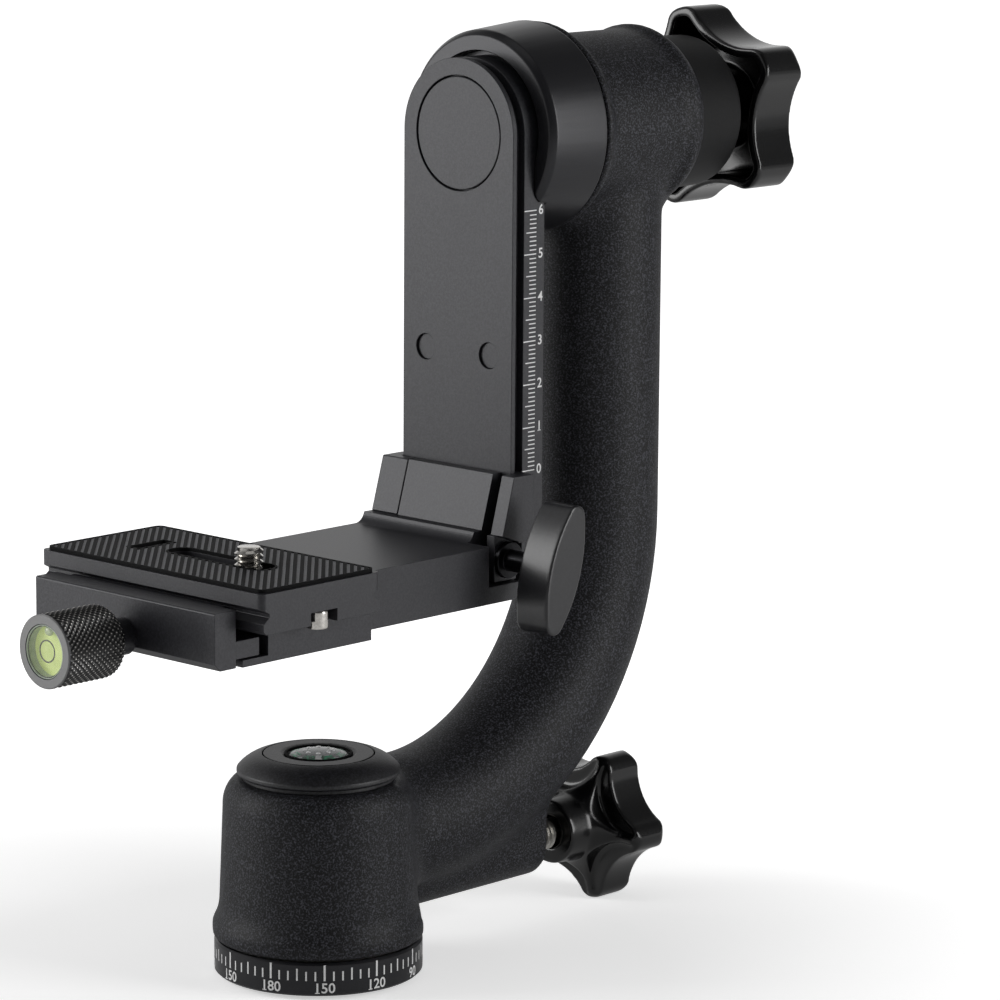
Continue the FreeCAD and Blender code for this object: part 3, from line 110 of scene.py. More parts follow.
def finish_of(name, colour, grain_mm, grain_depth_mm, patch=None, spread=(0.38, 0.66), **shader):
    """A finish: one colour, or two mottled ones, under a fine bumpy grain of a real size."""
    material = bpy.data.materials.new(name)
    material.use_nodes = True
    material.node_tree.nodes.clear()
    place = add(material, "ShaderNodeTexCoord").outputs["Object"]
    grain = add(material, "ShaderNodeTexNoise",
                {"Vector": place, "Scale": 1 / (grain_mm * MM), "Detail": 3.0, "Roughness": 0.6})
    bump = add(material, "ShaderNodeBump",
               {"Height": grain.outputs["Fac"], "Distance": grain_depth_mm * MM, "Strength": 1.0})
    inputs = {"Base Color": linear(colour), "Normal": bump.outputs["Normal"]}
    if patch:
        mottle = add(material, "ShaderNodeValToRGB", {"Fac": grain.outputs["Fac"]})
        for stop, position, shade in zip(mottle.color_ramp.elements, spread, (colour, patch)):
            stop.position = position
            stop.color = linear(shade)
        inputs["Base Color"] = mottle.outputs["Color"]
    inputs.update({key.replace("_", " "): value for key, value in shader.items()})
    surface = add(material, "ShaderNodeBsdfPrincipled", inputs)
    add(material, "ShaderNodeOutputMaterial", {"Surface": surface.outputs["BSDF"]})
    return material


# Black anodising on turned aluminium: a thin hard oxide, satin, with turning marks too fine to see singly
turned_anodised = finish_of("turned black anodised aluminium", "#1d1d20", 0.25, 0.004, "#232327",
                            Roughness=0.32, Metallic=0.35)
# White epoxy paint wiped into engraving: flat and slightly chalky
engraving_white = finish_of("white engraving paint", "#ececec", 0.2, 0.004, "#dadada", Roughness=0.6)


def paint(node, material):
    """Gives a CAD node a finish."""
    for slot in frame["nodes"][node].material_slots:
        slot.material = material


def piece(name, bm, body, slot, *materials):
    """Makes an object of a bmesh, which rides on a body and takes the finishes given. The slot is not used."""
    mesh = bpy.data.meshes.new(name)
    bm.to_mesh(mesh)
    bm.free()
    made = bpy.data.objects.new(name, mesh)
    bpy.context.scene.collection.objects.link(made)
    for material in materials:
        mesh.materials.append(material)
    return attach(made, body)


def dressed(node, material, slot, bevel_mm=0.25, segments=2, crease=28, shift=None):
    """A CAD node's shape as one smooth skin with its sharp edges broken, which stands for the node.

    The shift gives each point's move in millimetres, where a real seam stands open a little."""
    bm = bmesh.new()
    bm.from_mesh(frame["nodes"][node].data)
    bmesh.ops.remove_doubles(bm, verts=bm.verts, dist=1e-6)
    if shift:
        for vertex in bm.verts:
            vertex.co += Vector(shift(*(vertex.co / MM))) * MM
    bmesh.ops.dissolve_limit(bm, angle_limit=math.radians(0.5), verts=bm.verts, edges=bm.edges)
    for face in bm.faces:
        face.smooth = True
    made = piece(node + "_skin", bm, body_of(frame["nodes"][node])[0], slot, material)
    made.data.set_sharp_from_angle(angle=math.radians(crease))
    if bevel_mm:
        edge = made.modifiers.new("broken edges", "BEVEL")
        edge.width = bevel_mm * MM
        edge.segments = segments
        edge.limit_method = "ANGLE"
        edge.angle_limit = math.radians(crease)
        edge.miter_outer = "MITER_ARC"
    flat = made.modifiers.new("flat faces stay flat", "WEIGHTED_NORMAL")
    flat.keep_sharp = True
    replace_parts(made, node)
    return made


# The typeface's capitals are this share of its size. The rest are shares of a figure's height: how much
# the strokes swell, where a figure one's stem is, and how far its foot reaches.
CAPITALS_IN_SIZE = 0.72
STROKE_SWELL = 0.022
FOOT_BAND = 0.1
STEM_REACH = 0.45
SERIF_REACH = 0.13
SERIF_DROP = 0.03
SERIF_RISE = 0.07


def letter(bm, words, height, place):
    """Adds flat lettering to a bmesh: place(x, y) puts each of its points, from a middle at 0, 0.

    A figure one gets the foot that Blender's own typeface leaves off."""
    curve = bpy.data.curves.new(words, "FONT")
    curve.body = words
    curve.size = height / CAPITALS_IN_SIZE
    curve.align_x = "CENTER"
    curve.align_y = "CENTER"
    curve.resolution_u = 3
    curve.offset = height * STROKE_SWELL
    holder = bpy.data.objects.new(words, curve)
    bpy.context.scene.collection.objects.link(holder)
    bpy.context.view_layer.update()
    mesh = bpy.data.meshes.new_from_object(holder.evaluated_get(bpy.context.evaluated_depsgraph_get()))
    bpy.data.objects.remove(holder)
    old = set(bm.verts)
    bm.from_mesh(mesh)
    bpy.data.meshes.remove(mesh)
    fresh = [v for v in bm.verts if v not in old]
    if words.startswith("1"):
        foot = min(vertex.co.y for vertex in fresh)
        left = min(vertex.co.x for vertex in fresh)
        stem = [v.co.x for v in fresh
                if v.co.y < foot + height * FOOT_BAND and v.co.x < left + height * STEM_REACH]
        start, end = min(stem) - height * SERIF_REACH, max(stem) + height * SERIF_REACH
        under, over = foot - height * SERIF_DROP, foot + height * SERIF_RISE
        corners = ((start, under), (end, under), (end, over), (start, over))
        serif = [bm.verts.new((x, y, 0)) for x, y in corners]
        bm.faces.new(serif)
        fresh += serif
    for vertex in fresh:
        vertex.co = place(vertex.co.x, vertex.co.y)


# The paint stands this much proud of what it is on, so that it shows
PAINT_LIFT = 0.02
dial_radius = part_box("pan_base")[1].x + PAINT_LIFT * MM
DIAL_ZERO = 18.8
LINE_FOOT = 3.6
LINE_TOPS = {30: 7.25, 15: 6.4, 5: 5.75}
HALF_WIDTHS = {30: 0.24, 15: 0.19, 5: 0.19}
DIAL_FIGURE = 2.35
FIGURE_MIDDLE = 1.8


def dial_point(degrees, along, height):
    """A point on the disc's rim, along it from a mark and at a height, both in millimetres."""
    angle = math.radians(DIAL_ZERO + degrees) + along * MM / dial_radius
    return Vector((dial_radius * math.cos(angle), dial_radius * math.sin(angle), height * MM))


marks = bmesh.new()
for degrees in range(0, 360, 5):
    step = 30 if degrees % 30 == 0 else 15 if degrees % 15 == 0 else 5
    half, top = HALF_WIDTHS[step], LINE_TOPS[step]
    corners = [(-half, LINE_FOOT), (half, LINE_FOOT), (half, top), (-half, top)]
    marks.faces.new([marks.verts.new(dial_point(degrees, x, z)) for x, z in corners])
for degrees in range(0, 360, 30):
    number = str(min(degrees, 360 - degrees))
    letter(marks, number, DIAL_FIGURE * MM,
           lambda x, y, d=degrees: dial_point(d, x / MM, FIGURE_MIDDLE + y / MM))
piece("dial_scale", marks, "base", "dial_anodised", engraving_white)
paint("pan_base", turned_anodised)


# Inside the base, in steel: a bush with the tripod's thread, pressed in from below, and on the spindle's
# end the nut and spring washer that hold the arm down.

# Turned steel, left bare: bright and sharp in its gloss, with a little grain from the tool
plain_steel = finish_of("machined steel", "#b9b7b2", 0.3, 0.004, "#a6a49f", Roughness=0.3, Metallic=1.0)
for fitting in ("tripod_bush", "spindle_washer", "spindle_nut"):
    paint(fitting, plain_steel)


# The arm is one aluminium casting: the pan housing, the lock's boss, the bent tube and the tilt housing.
# It is bored for its bronze bearings and powder coated black, and a cap closes the tilt housing's end.

# Textured powder coat has a fine sand grain that scatters the light, with pale tips on black. The grains
# are drawn a little coarse, so that they show.
powder_coat = finish_of("textured black powder coat", "#09090b", 0.42, 0.07, "#4c4d54", (0.48, 0.7),
                        Roughness=0.55, Specular_IOR_Level=0.25)
# Nylon turned from undyed bar: milky white and soft in its gloss
natural_nylon = finish_of("natural nylon", "#d4d1c6", 0.6, 0.01, "#cbc8bc", Roughness=0.5)
# Sintered bronze: brown metal, dull from the pores that hold its oil
bearing_bronze = finish_of("sintered bronze", "#a07a45", 0.3, 0.01, "#8c6838", Roughness=0.45, Metallic=1.0)


def moulded(node, material, slot, voxel_mm, rounds, blend=None, blend_rounds=0):
    """A CAD node's shape with its edges rounded, as cast or moulded, which stands for the node.

    Where blend(x, y, z), in millimetres, is true, the skin is drawn into a wide soft corner."""
    bm = bmesh.new()
    bm.from_mesh(frame["nodes"][node].data)
    bmesh.ops.remove_doubles(bm, verts=bm.verts, dist=1e-6)
    made = piece(node + "_skin", bm, body_of(frame["nodes"][node])[0], slot, material)
    even = made.modifiers.new("even skin", "REMESH")
    even.mode = "VOXEL"
    even.voxel_size = voxel_mm * MM
    bpy.context.view_layer.update()
    skin = bpy.data.meshes.new_from_object(made.evaluated_get(bpy.context.evaluated_depsgraph_get()))
    made.modifiers.clear()
    bm = bmesh.new()
    bm.from_mesh(skin)
    bpy.data.meshes.remove(skin)
    soft = [vertex for vertex in bm.verts if blend and blend(*(vertex.co / MM))]
    for passes, verts in ((blend_rounds, soft), (rounds, bm.verts[:])):
        for _ in range(passes):
            bmesh.ops.smooth_vert(bm, verts=verts, factor=0.5,
                                  use_axis_x=True, use_axis_y=True, use_axis_z=True)
    for face in bm.faces:
        face.smooth = True
    bm.to_mesh(made.data)
    bm.free()
    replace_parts(made, node)
    return made


# Where the cast corner between housing and tube is soft
HOUSING_RADIUS = 22.6
SEAM_REACH = 4.5
LOCK_HEIGHT = 17.3
LOCK_BOSS_KEPT = 9
NECK_FRONT = 8
NECK_SIDE = 19
NECK_FOOT = 6
NECK_TOP = 45


def housing_neck(x, y, z):
    """True by the seam where the tube leaves the housing, but not by the lock's bore and boss."""
    by_seam = abs(math.hypot(x, y) - HOUSING_RADIUS) < SEAM_REACH
    clear_of_lock = math.hypot(y, z - LOCK_HEIGHT) > LOCK_BOSS_KEPT
    return by_seam and clear_of_lock and x > NECK_FRONT and abs(y) < NECK_SIDE and NECK_FOOT < z < NECK_TOP


moulded("arm_casting", powder_coat, "powder_coat", 0.6, 3, housing_neck, 100)
# Where the coat runs into the tilt bearing's end cap it is smoother and nearly black
smooth_coat = finish_of("smooth black powder coat", "#060607", 0.6, 0.02, "#0c0c0e", Roughness=0.6,
                        Specular_IOR_Level=0.25)
moulded("tilt_end_cap", smooth_coat, "powder_coat", 0.3, 8)
paint("pan_slip_washer", natural_nylon)
for bush in ("pan_bush", "tilt_bush_front", "tilt_bush_rear"):
    paint(bush, bearing_bronze)

# A small white triangle on the housing's collar points down at the degree scale
COLLAR_RADIUS = 24.22
POINTER_HALF = 1.1
POINTER_TIP = 9.2
POINTER_TOP = 11.4
pointer = bmesh.new()
for across, up in ((-POINTER_HALF, POINTER_TOP), (0, POINTER_TIP), (POINTER_HALF, POINTER_TOP)):
    angle = math.radians(90) - across / COLLAR_RADIUS
    outwards = Vector((math.cos(angle), math.sin(angle), 0))
    pointer.verts.new(outwards * COLLAR_RADIUS * MM + Vector((0, 0, up * MM)))
pointer.faces.new(pointer.verts)
piece("index_mark", pointer, "arm", "powder_coat", engraving_white)


# The cap of the pan housing is an anodised ring seated on its top, over the nut. It carries a bezel with a
# small liquid compass: an ABS case, a printed card and a needle on its pivot, under a domed glass.

# Fine beads leave the bracket, rail and plate an even satin black that greys towards the light
satin_anodised = finish_of("bead-blasted black anodised aluminium", "#242428", 0.5, 0.025, "#303034",
                           Roughness=0.42, Metallic=0.2)
# A coarser blast on the cap gives a dull sparkle
blasted_anodised = finish_of("coarse-blasted black anodised aluminium", "#0d0d0f", 0.5, 0.05,
                             "#2b2b30", (0.42, 0.68), Roughness=0.48)
dressed("cap_ring", blasted_anodised, "anodised", bevel_mm=0.18)
BEZEL_WALL = 12.5
BEZEL_SHARE = 0.02


def groove_round_bezel(x, y, z):
    """Draws the bezel's outer wall in, so that a fine groove stands open round it."""
    inwards = -BEZEL_SHARE if math.hypot(x, y) > BEZEL_WALL else 0
    return x * inwards, y * inwards, 0


dressed("compass_bezel", blasted_anodised, "anodised", bevel_mm=0.1, shift=groove_round_bezel)

# ABS from a polished tool: deep black with clear highlights, and a faint unevenness where it shrank
gloss_plastic = finish_of("glossy black ABS", "#060607", 0.9, 0.003, "#09090a", Roughness=0.2)
paint("compass_case", gloss_plastic)
# Card printed dark, with green where the ink is thin
card_green = finish_of("printed compass card", "#0c1712", 2.2, 0.002, "#1f6b45", (0.5, 0.58), Roughness=0.5)
paint("compass_card", card_green)
paint("compass_pivot", plain_steel)
# Enamel on the needle: a deep red with a wet gloss
needle_red = finish_of("red needle enamel", "#5a1a14", 0.4, 0.002, "#4c1410", Roughness=0.3)
paint("compass_needle", needle_red)

card_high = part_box("compass_card")[1]
CARD_RADIUS = card_high.x / MM
CARD_LETTER = 1.7
LETTER_INSET = 2.9
MARK_INSET = 0.4
LONG_MARK = 1.6
SHORT_MARK = 1.1
WIDE_HALF = 2.0
NARROW_HALF = 1.2


def card_point(x, y):
    """A point a hair above the card, from millimetres."""
    return Vector((x * MM, y * MM, card_high.z + PAINT_LIFT * MM))


def on_circle(radius, degrees):
    """A point's x and y on a circle round the pan axis."""
    return radius * math.cos(math.radians(degrees)), radius * math.sin(math.radians(degrees))


card_print = bmesh.new()
for degrees in range(0, 360, 15):
    inner = CARD_RADIUS - (SHORT_MARK if degrees % 45 else LONG_MARK)
    outer = CARD_RADIUS - MARK_INSET
    half = NARROW_HALF if degrees % 45 else WIDE_HALF
    corners = [on_circle(inner, degrees - half), on_circle(outer, degrees - half),
               on_circle(outer, degrees + half), on_circle(inner, degrees + half)]
    card_print.faces.new([card_print.verts.new(card_point(*corner)) for corner in corners])
for degrees, point in ((0, "E"), (90, "N"), (180, "W"), (270, "S")):
    x0, y0 = on_circle(CARD_RADIUS - LETTER_INSET, degrees)
    letter(card_print, point, CARD_LETTER * MM,
           lambda x, y, x0=x0, y0=y0: card_point(x0 + x / MM, y0 + y / MM))
piece("compass_print", card_print, "arm", "card_print", engraving_white)


def smooth(bm, crease=35):
    """Smooth shading with the sharp edges kept, and all faces outwards."""
    bmesh.ops.recalc_face_normals(bm, faces=bm.faces)
    for face in bm.faces:
        face.smooth = True
    for edge in bm.edges:
        if len(edge.link_faces) == 2 and edge.calc_face_angle(0) > math.radians(crease):
            edge.smooth = False


def lathe(bm, corners, segments=64):
    """Spins (radius, height) corners in millimetres round Z into a closed skin."""
    points = [bm.verts.new((radius * MM, 0, height * MM)) for radius, height in corners]
    chain = [bm.edges.new(pair) for pair in zip(points, points[1:])]
    bmesh.ops.spin(bm, geom=points + chain, cent=(0, 0, 0), axis=(0, 0, 1), dvec=(0, 0, 0),
                   angle=2 * math.pi, steps=segments, use_merge=True, use_duplicate=False)
    bmesh.ops.remove_doubles(bm, verts=bm.verts, dist=1e-7)


# Domed glass: clear where it faces the eye, and painted pale grey where it slopes away, a painted reflection of
# the sky
glass = finish_of("domed compass glass", "#b4b7b7", 2.0, 0.0005, Roughness=0.06, IOR=1.5)
slope = add(glass, "ShaderNodeLayerWeight", {"Blend": 0.5}).outputs["Facing"]
painted_sheen = add(glass, "ShaderNodeMapRange",
            {"Value": slope, "From Min": 0.45, "From Max": 0.97, "To Min": 0.06, "To Max": 0.95})
glass.node_tree.links.new(painted_sheen.outputs["Result"], glass.node_tree.nodes["Principled BSDF"].inputs["Alpha"])
glass_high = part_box("compass_glass")[1]
GLASS_RADIUS = glass_high.x / MM - 0.1
GLASS_RISE = 1.9
GLASS_PROUD = 0.35
dome = bmesh.new()
bmesh.ops.create_uvsphere(dome, u_segments=64, v_segments=32, radius=1.0)
bmesh.ops.bisect_plane(dome, geom=dome.verts[:] + dome.edges[:] + dome.faces[:], plane_co=(0, 0, 0),
                       plane_no=(0, 0, 1), clear_inner=True)
bmesh.ops.scale(dome, vec=(GLASS_RADIUS * MM, GLASS_RADIUS * MM, GLASS_RISE * MM), verts=dome.verts)
bmesh.ops.holes_fill(dome, edges=dome.edges, sides=0)
bmesh.ops.translate(dome, vec=(0, 0, glass_high.z - (GLASS_RISE - GLASS_PROUD) * MM), verts=dome.verts)
smooth(dome, 60)
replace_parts(piece("compass_dome", dome, "arm", "clear_lens", glass), "compass_glass")

# A sealing ring of black rubber beds the glass in the bezel. It is dull and darker than all round it, a dark
# ring put in as painted shade for the gap round the glass.
seal_shade_rubber = finish_of("black sealing rubber", "#020203", 0.4, 0.004, "#050506", Roughness=0.8,
                        Specular_IOR_Level=0.1)
SEAL_PROUD = 0.06
SEAL_HALF = 0.3
SEAL_DEPTH = 0.5
SEAL_ROUND = 0.1
seal_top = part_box("compass_bezel")[1].z / MM + SEAL_PROUD
seal_in, seal_out = GLASS_RADIUS - SEAL_HALF, GLASS_RADIUS + SEAL_HALF
seal = bmesh.new()
lathe(seal, [(seal_in, seal_top - SEAL_DEPTH), (seal_out, seal_top - SEAL_DEPTH),
             (seal_out, seal_top - SEAL_ROUND), (seal_out - SEAL_ROUND, seal_top),
             (seal_in, seal_top), (seal_in, seal_top - SEAL_DEPTH)], 64)
smooth(seal, 50)
piece("compass_seal", seal, "arm", "clear_lens", seal_shade_rubber)

# The liquid lifts the picture of the dial up to the glass, so its green arcs and white dots stand on the
# dome. Printed ink seen through liquid is a clear green that turns darker and lighter.
dial_green = finish_of("green dial print", "#123f2a", 0.9, 0.001, "#3a9a70", (0.45, 0.6), Roughness=0.4)


def dome_point(radius, degrees):
    """A point a hair above the domed glass, from its share of the glass's radius and an angle."""
    x, y = on_circle(GLASS_RADIUS * radius, degrees)
    rise = GLASS_RISE * math.sqrt(1 - radius * radius) - GLASS_RISE + GLASS_PROUD + PAINT_LIFT
    return Vector((x, y, glass_high.z / MM + rise)) * MM


ARC_COUNT = 8
ARC_INNER = 0.64
ARC_OUTER = 0.84
ARC_START = 8
ARC_STEPS = 4
ARC_STEP = 7.5
DOT_CIRCLE = 0.42
DOT_RADIUS = 0.5
lifted_arcs = bmesh.new()
for arc in range(ARC_COUNT):
    for step in range(ARC_STEPS):
        start = 360 / ARC_COUNT * arc + ARC_START + step * ARC_STEP
        end = start + ARC_STEP
        corners = [(ARC_INNER, start), (ARC_OUTER, start), (ARC_OUTER, end), (ARC_INNER, end)]
        lifted_arcs.faces.new([lifted_arcs.verts.new(dome_point(*corner)) for corner in corners])
bmesh.ops.remove_doubles(lifted_arcs, verts=lifted_arcs.verts, dist=1e-6)
piece("compass_arcs", lifted_arcs, "arm", "card_print", dial_green)
lifted_dots = bmesh.new()
for arc in range(ARC_COUNT):
    dot = bmesh.ops.create_uvsphere(lifted_dots, u_segments=12, v_segments=8, radius=DOT_RADIUS * MM)["verts"]
    bmesh.ops.scale(lifted_dots, vec=(1, 1, 0.5), verts=dot)
    bmesh.ops.translate(lifted_dots, vec=dome_point(DOT_CIRCLE, 360 / ARC_COUNT * arc), verts=dot)
smooth(lifted_dots, 80)
piece("compass_dots", lifted_dots, "arm", "card_print", engraving_white)


# Pan lock: an M8 steel screw in the arm's boss presses a nylon shoe on the spindle. The five-lobed knob
# is ABS, moulded round the screw's end.

THREAD_STEPS = 28
THREAD_SUNK = 0.05
THREAD_CREST = 0.06


def thread_on(bm, core, crest, pitch, start, end):
    """Winds a V ridge round Z between two heights, all in millimetres."""
    turns = (end - start) / pitch
    steps = int(turns * THREAD_STEPS)
    ridge = [bm.verts.new((radius * MM, 0, (start + height) * MM))
             for radius, height in ((core - THREAD_SUNK, -pitch * 0.5), (crest, -pitch * THREAD_CREST),
                                    (crest, pitch * THREAD_CREST), (core - THREAD_SUNK, pitch * 0.5))]
    loop = [bm.edges.new((ridge[i], ridge[(i + 1) % 4])) for i in range(4)]
    wound = bmesh.ops.spin(bm, geom=ridge + loop, cent=(0, 0, 0), axis=(0, 0, 1),
                           dvec=(0, 0, (end - start) * MM / steps), angle=turns * 2 * math.pi,
                           steps=steps, use_merge=False, use_duplicate=False)
    last = [e for e in wound["geom_last"] if isinstance(e, bmesh.types.BMEdge)]
    bmesh.ops.contextual_create(bm, geom=loop)
    bmesh.ops.contextual_create(bm, geom=last)


ALONG_X = Matrix.Rotation(math.radians(90), 4, "Y")
screw_low, screw_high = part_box("pan_lock_screw")
lock_axis = Vector((0, 0, (screw_low.z + screw_high.z) / 2))
LOCK_CORE = 3.2
LOCK_CREST = 3.99
LOCK_PITCH = 1.25
PLAIN_POINT = 1.2
IN_KNOB = 20
lock_screw = bmesh.new()
point, end = screw_low.x / MM, screw_high.x / MM
lathe(lock_screw, [(0, point), (LOCK_CORE, point), (LOCK_CORE, end), (0, end)])
thread_on(lock_screw, LOCK_CORE, LOCK_CREST, LOCK_PITCH, point + PLAIN_POINT, end - IN_KNOB)
smooth(lock_screw)
lock_screw.transform(Matrix.Translation(lock_axis) @ ALONG_X)
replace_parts(piece("pan_lock_screw_threaded", lock_screw, "pan_knob", "bare_steel", plain_steel),
            "pan_lock_screw")
SHOE_CLEARANCE = 0.3


def free_shoe(x, y, z):
    """Draws the shoe's side in, so that it slides clear of the cast bore."""
    out = math.hypot(y, z - lock_axis.z / MM)
    inwards = -SHOE_CLEARANCE / out if out > 1 else 0
    return 0, y * inwards, (z - lock_axis.z / MM) * inwards


dressed("pan_lock_shoe", natural_nylon, "nylon", bevel_mm=0.3, shift=free_shoe)
moulded("pan_lock_knob", gloss_plastic, "knob_plastic", 0.35, 9)


# Tilt group: a turned hub on a steel shaft carries the height rail, a grooved bar with a round head.
# The rail's side has a millimetre ruler from 0 to 6 cm, which shows how high the bracket is clamped.
dressed("tilt_hub", turned_anodised, "anodised", bevel_mm=0.2)
dressed("height_rail", satin_anodised, "anodised", bevel_mm=0.2)
cap_low, cap_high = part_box("rail_cap")
tilt_axis_z = (cap_low.z + cap_high.z) / 2 / MM
plug_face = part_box("rail_plugs")[0].x / MM
SEAM = 0.3
CAP_WALL = 12
CAP_DEPTH = 0.15
CAP_FACE = 0.6
PLUG_DEPTH = 0.6
PLUG_FACE = 0.3


def sink_cap(x, y, z):
    """Leaves a fine ring round the rail's cap and sets its face just behind the rail's."""
    out = math.hypot(y, z - tilt_axis_z)
    inwards = -SEAM / out if out > CAP_WALL else 0
    sunk = CAP_DEPTH if x < cap_low.x / MM + CAP_FACE else 0
    return sunk, y * inwards, (z - tilt_axis_z) * inwards


def sink_plugs(x, y, z):
    """Sets the plugs' faces into their holes."""
    return PLUG_DEPTH if x < plug_face + PLUG_FACE else 0, 0, 0


dressed("rail_cap", satin_anodised, "anodised", bevel_mm=0.2, shift=sink_cap)
dressed("rail_plugs", satin_anodised, "anodised", bevel_mm=0.2, shift=sink_plugs)
paint("tilt_shaft", plain_steel)
# Steel blackened in hot salts: near black, with the metal's gloss under the oil
black_steel = finish_of("black oxide steel", "#19191b", 0.3, 0.004, "#222225", Roughness=0.35, Metallic=0.8)
paint("hub_screw", black_steel)
# Pressed fibre: a dull brown felt of short threads
friction_fibre = finish_of("friction fibre", "#2b2620", 0.5, 0.03, "#3a342b", Roughness=0.8)
paint("tilt_friction_ring", friction_fibre)

ruler_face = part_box("height_rail")[0].y
RULER_ZERO = 111.1
RULER_LINES = 60
LINE_END = 52.6
LINE_HALF = 0.13
CENTIMETRE_LINE = 4.0
HALFWAY_LINE = 3.3
MILLIMETRE_LINE = 2.2
RULER_FIGURE = 2.3
FIGURE_PLACE = 54.1


def ruler_point(x, z):
    """A point on the rail's ruler face, from millimetres along X and Z."""
    return Vector((x * MM, ruler_face - PAINT_LIFT * MM, z * MM))


ruler = bmesh.new()
for line in range(RULER_LINES + 1):
    length = CENTIMETRE_LINE if line % 10 == 0 else HALFWAY_LINE if line % 5 == 0 else MILLIMETRE_LINE
    start, height = LINE_END - length, RULER_ZERO + line
    corners = [(start, height - LINE_HALF), (LINE_END, height - LINE_HALF),
               (LINE_END, height + LINE_HALF), (start, height + LINE_HALF)]
    ruler.faces.new([ruler.verts.new(ruler_point(x, z)) for x, z in corners])
for number in range(RULER_LINES // 10 + 1):
    letter(ruler, str(number), RULER_FIGURE * MM,
           lambda x, y, n=number: ruler_point(FIGURE_PLACE + x / MM, RULER_ZERO + 10 * n + y / MM))
piece("ruler_scale", ruler, "swing", "anodised", engraving_white)


# Tilt lock: a hollow five-lobed knob of ABS turns on the shaft's threaded tail by a metal insert moulded
# into it, and presses on a steel thrust washer.
moulded("tilt_lock_knob", gloss_plastic, "knob_plastic", 0.35, 9)
paint("tilt_lock_insert", bearing_bronze)
paint("tilt_thrust_washer", plain_steel)


# The L bracket is milled from one bar and anodised, with a fixed jaw bolted to its far side and a
# moving jaw on the near side. A stud with an oval paddle pulls the moving jaw onto the rail.
dressed("l_bracket", satin_anodised, "anodised", bevel_mm=0.3)
CHEEK_SEAM = 12.5
CHEEK_GAP = 0.2


def open_cheek_seam(x, y, z):
    """Leaves the joint between the block and its bolted jaw open by a hair."""
    return 0, CHEEK_GAP if abs(y - CHEEK_SEAM) < 0.05 else 0, 0


dressed("fixed_rail_jaw", satin_anodised, "anodised", bevel_mm=0.25, shift=open_cheek_seam)
dressed("rail_clamp_jaw", satin_anodised, "anodised", bevel_mm=0.25)
dressed("height_lock_stud", black_steel, "black_steel", bevel_mm=0.15)
# The paddle is moulded in a tool with a finer spark finish than the knobs', so it is greyer
satin_plastic = finish_of("satin black ABS", "#202022", 0.9, 0.003, "#262629", Roughness=0.3)
moulded("height_lock_paddle", satin_plastic, "knob_plastic", 0.25, 12)


# Quick-release clamp: an aluminium base screwed over the bracket's end, a moving jaw on two steel pins,
# and a knurled knob on the screw that draws the jaw in. A bubble level is pressed into the knob's end.

# The clamp is painted a shade darker than the bracket, as painted shade under the plate's overhang, and its
# gloss is a little clearer
clamp_shaded_anodised = finish_of("black anodised aluminium with painted shade", "#222226", 0.6, 0.03, "#303035", Roughness=0.4,
                           Metallic=0.2)
dressed("clamp_base", clamp_shaded_anodised, "anodised", bevel_mm=0.25)
paint("clamp_base_screws", black_steel)
dressed("clamp_jaw", clamp_shaded_anodised, "anodised", bevel_mm=0.5, segments=3)
paint("jaw_guide_pins", plain_steel)
paint("clamp_screw", black_steel)

# The knob and the level are turned round Z, with the knob's end face at 0, and then laid along X
knob_low, knob_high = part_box("clamp_knob")
knob_height = (knob_low.z + knob_high.z) / 2
KNOB_RADIUS = (knob_high.z - knob_low.z) / 2 / MM
KNOB_LENGTH = 17.1
BACK_ROUND = 2.2
RIM_RADIUS = KNOB_RADIUS - 0.05
UNDER_KNURL = KNOB_RADIUS - 0.75
WINDOW = 5.9
CUP_FLOOR = 5.8
KNOB_NECK = 4.1
SCREW_HOLE = 2.4
SCREW_END = 6.0
jaw_face = (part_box("clamp_jaw")[0].x - knob_low.x) / MM

knob_body = bmesh.new()
lathe(knob_body, [
    (WINDOW, CUP_FLOOR), (WINDOW, 0.3), (WINDOW + 0.12, 0), (KNOB_RADIUS - 0.3, 0), (RIM_RADIUS, 0.2),
    (RIM_RADIUS, 0.45), (UNDER_KNURL, 0.6), (UNDER_KNURL, KNOB_LENGTH - BACK_ROUND - 0.6),
    (KNOB_RADIUS - BACK_ROUND - 0.6, KNOB_LENGTH), (KNOB_NECK, KNOB_LENGTH), (KNOB_NECK, jaw_face),
    (SCREW_HOLE, jaw_face), (SCREW_HOLE, SCREW_END), (0, SCREW_END), (0, CUP_FLOOR), (WINDOW, CUP_FLOOR)], 96)
smooth(knob_body, 25)
FACED_OFF = 0.25
for face in knob_body.faces:
    if max(vertex.co.z for vertex in face.verts) < FACED_OFF * MM:
        face.material_index = 1
knob_place = Matrix.Translation(Vector((knob_low.x, 0, knob_height))) @ ALONG_X
knob_body.transform(knob_place)
# Aluminium faced off after anodising: bare grey metal with a fine turned grain
faced_aluminium = finish_of("faced aluminium", "#6f6f6f", 0.15, 0.006, "#7a7a7a", Roughness=0.42,
                            Metallic=0.6)
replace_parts(piece("clamp_knob_turned", knob_body, "clamp_knob", "anodised", satin_anodised, faced_aluminium),
            "clamp_knob")
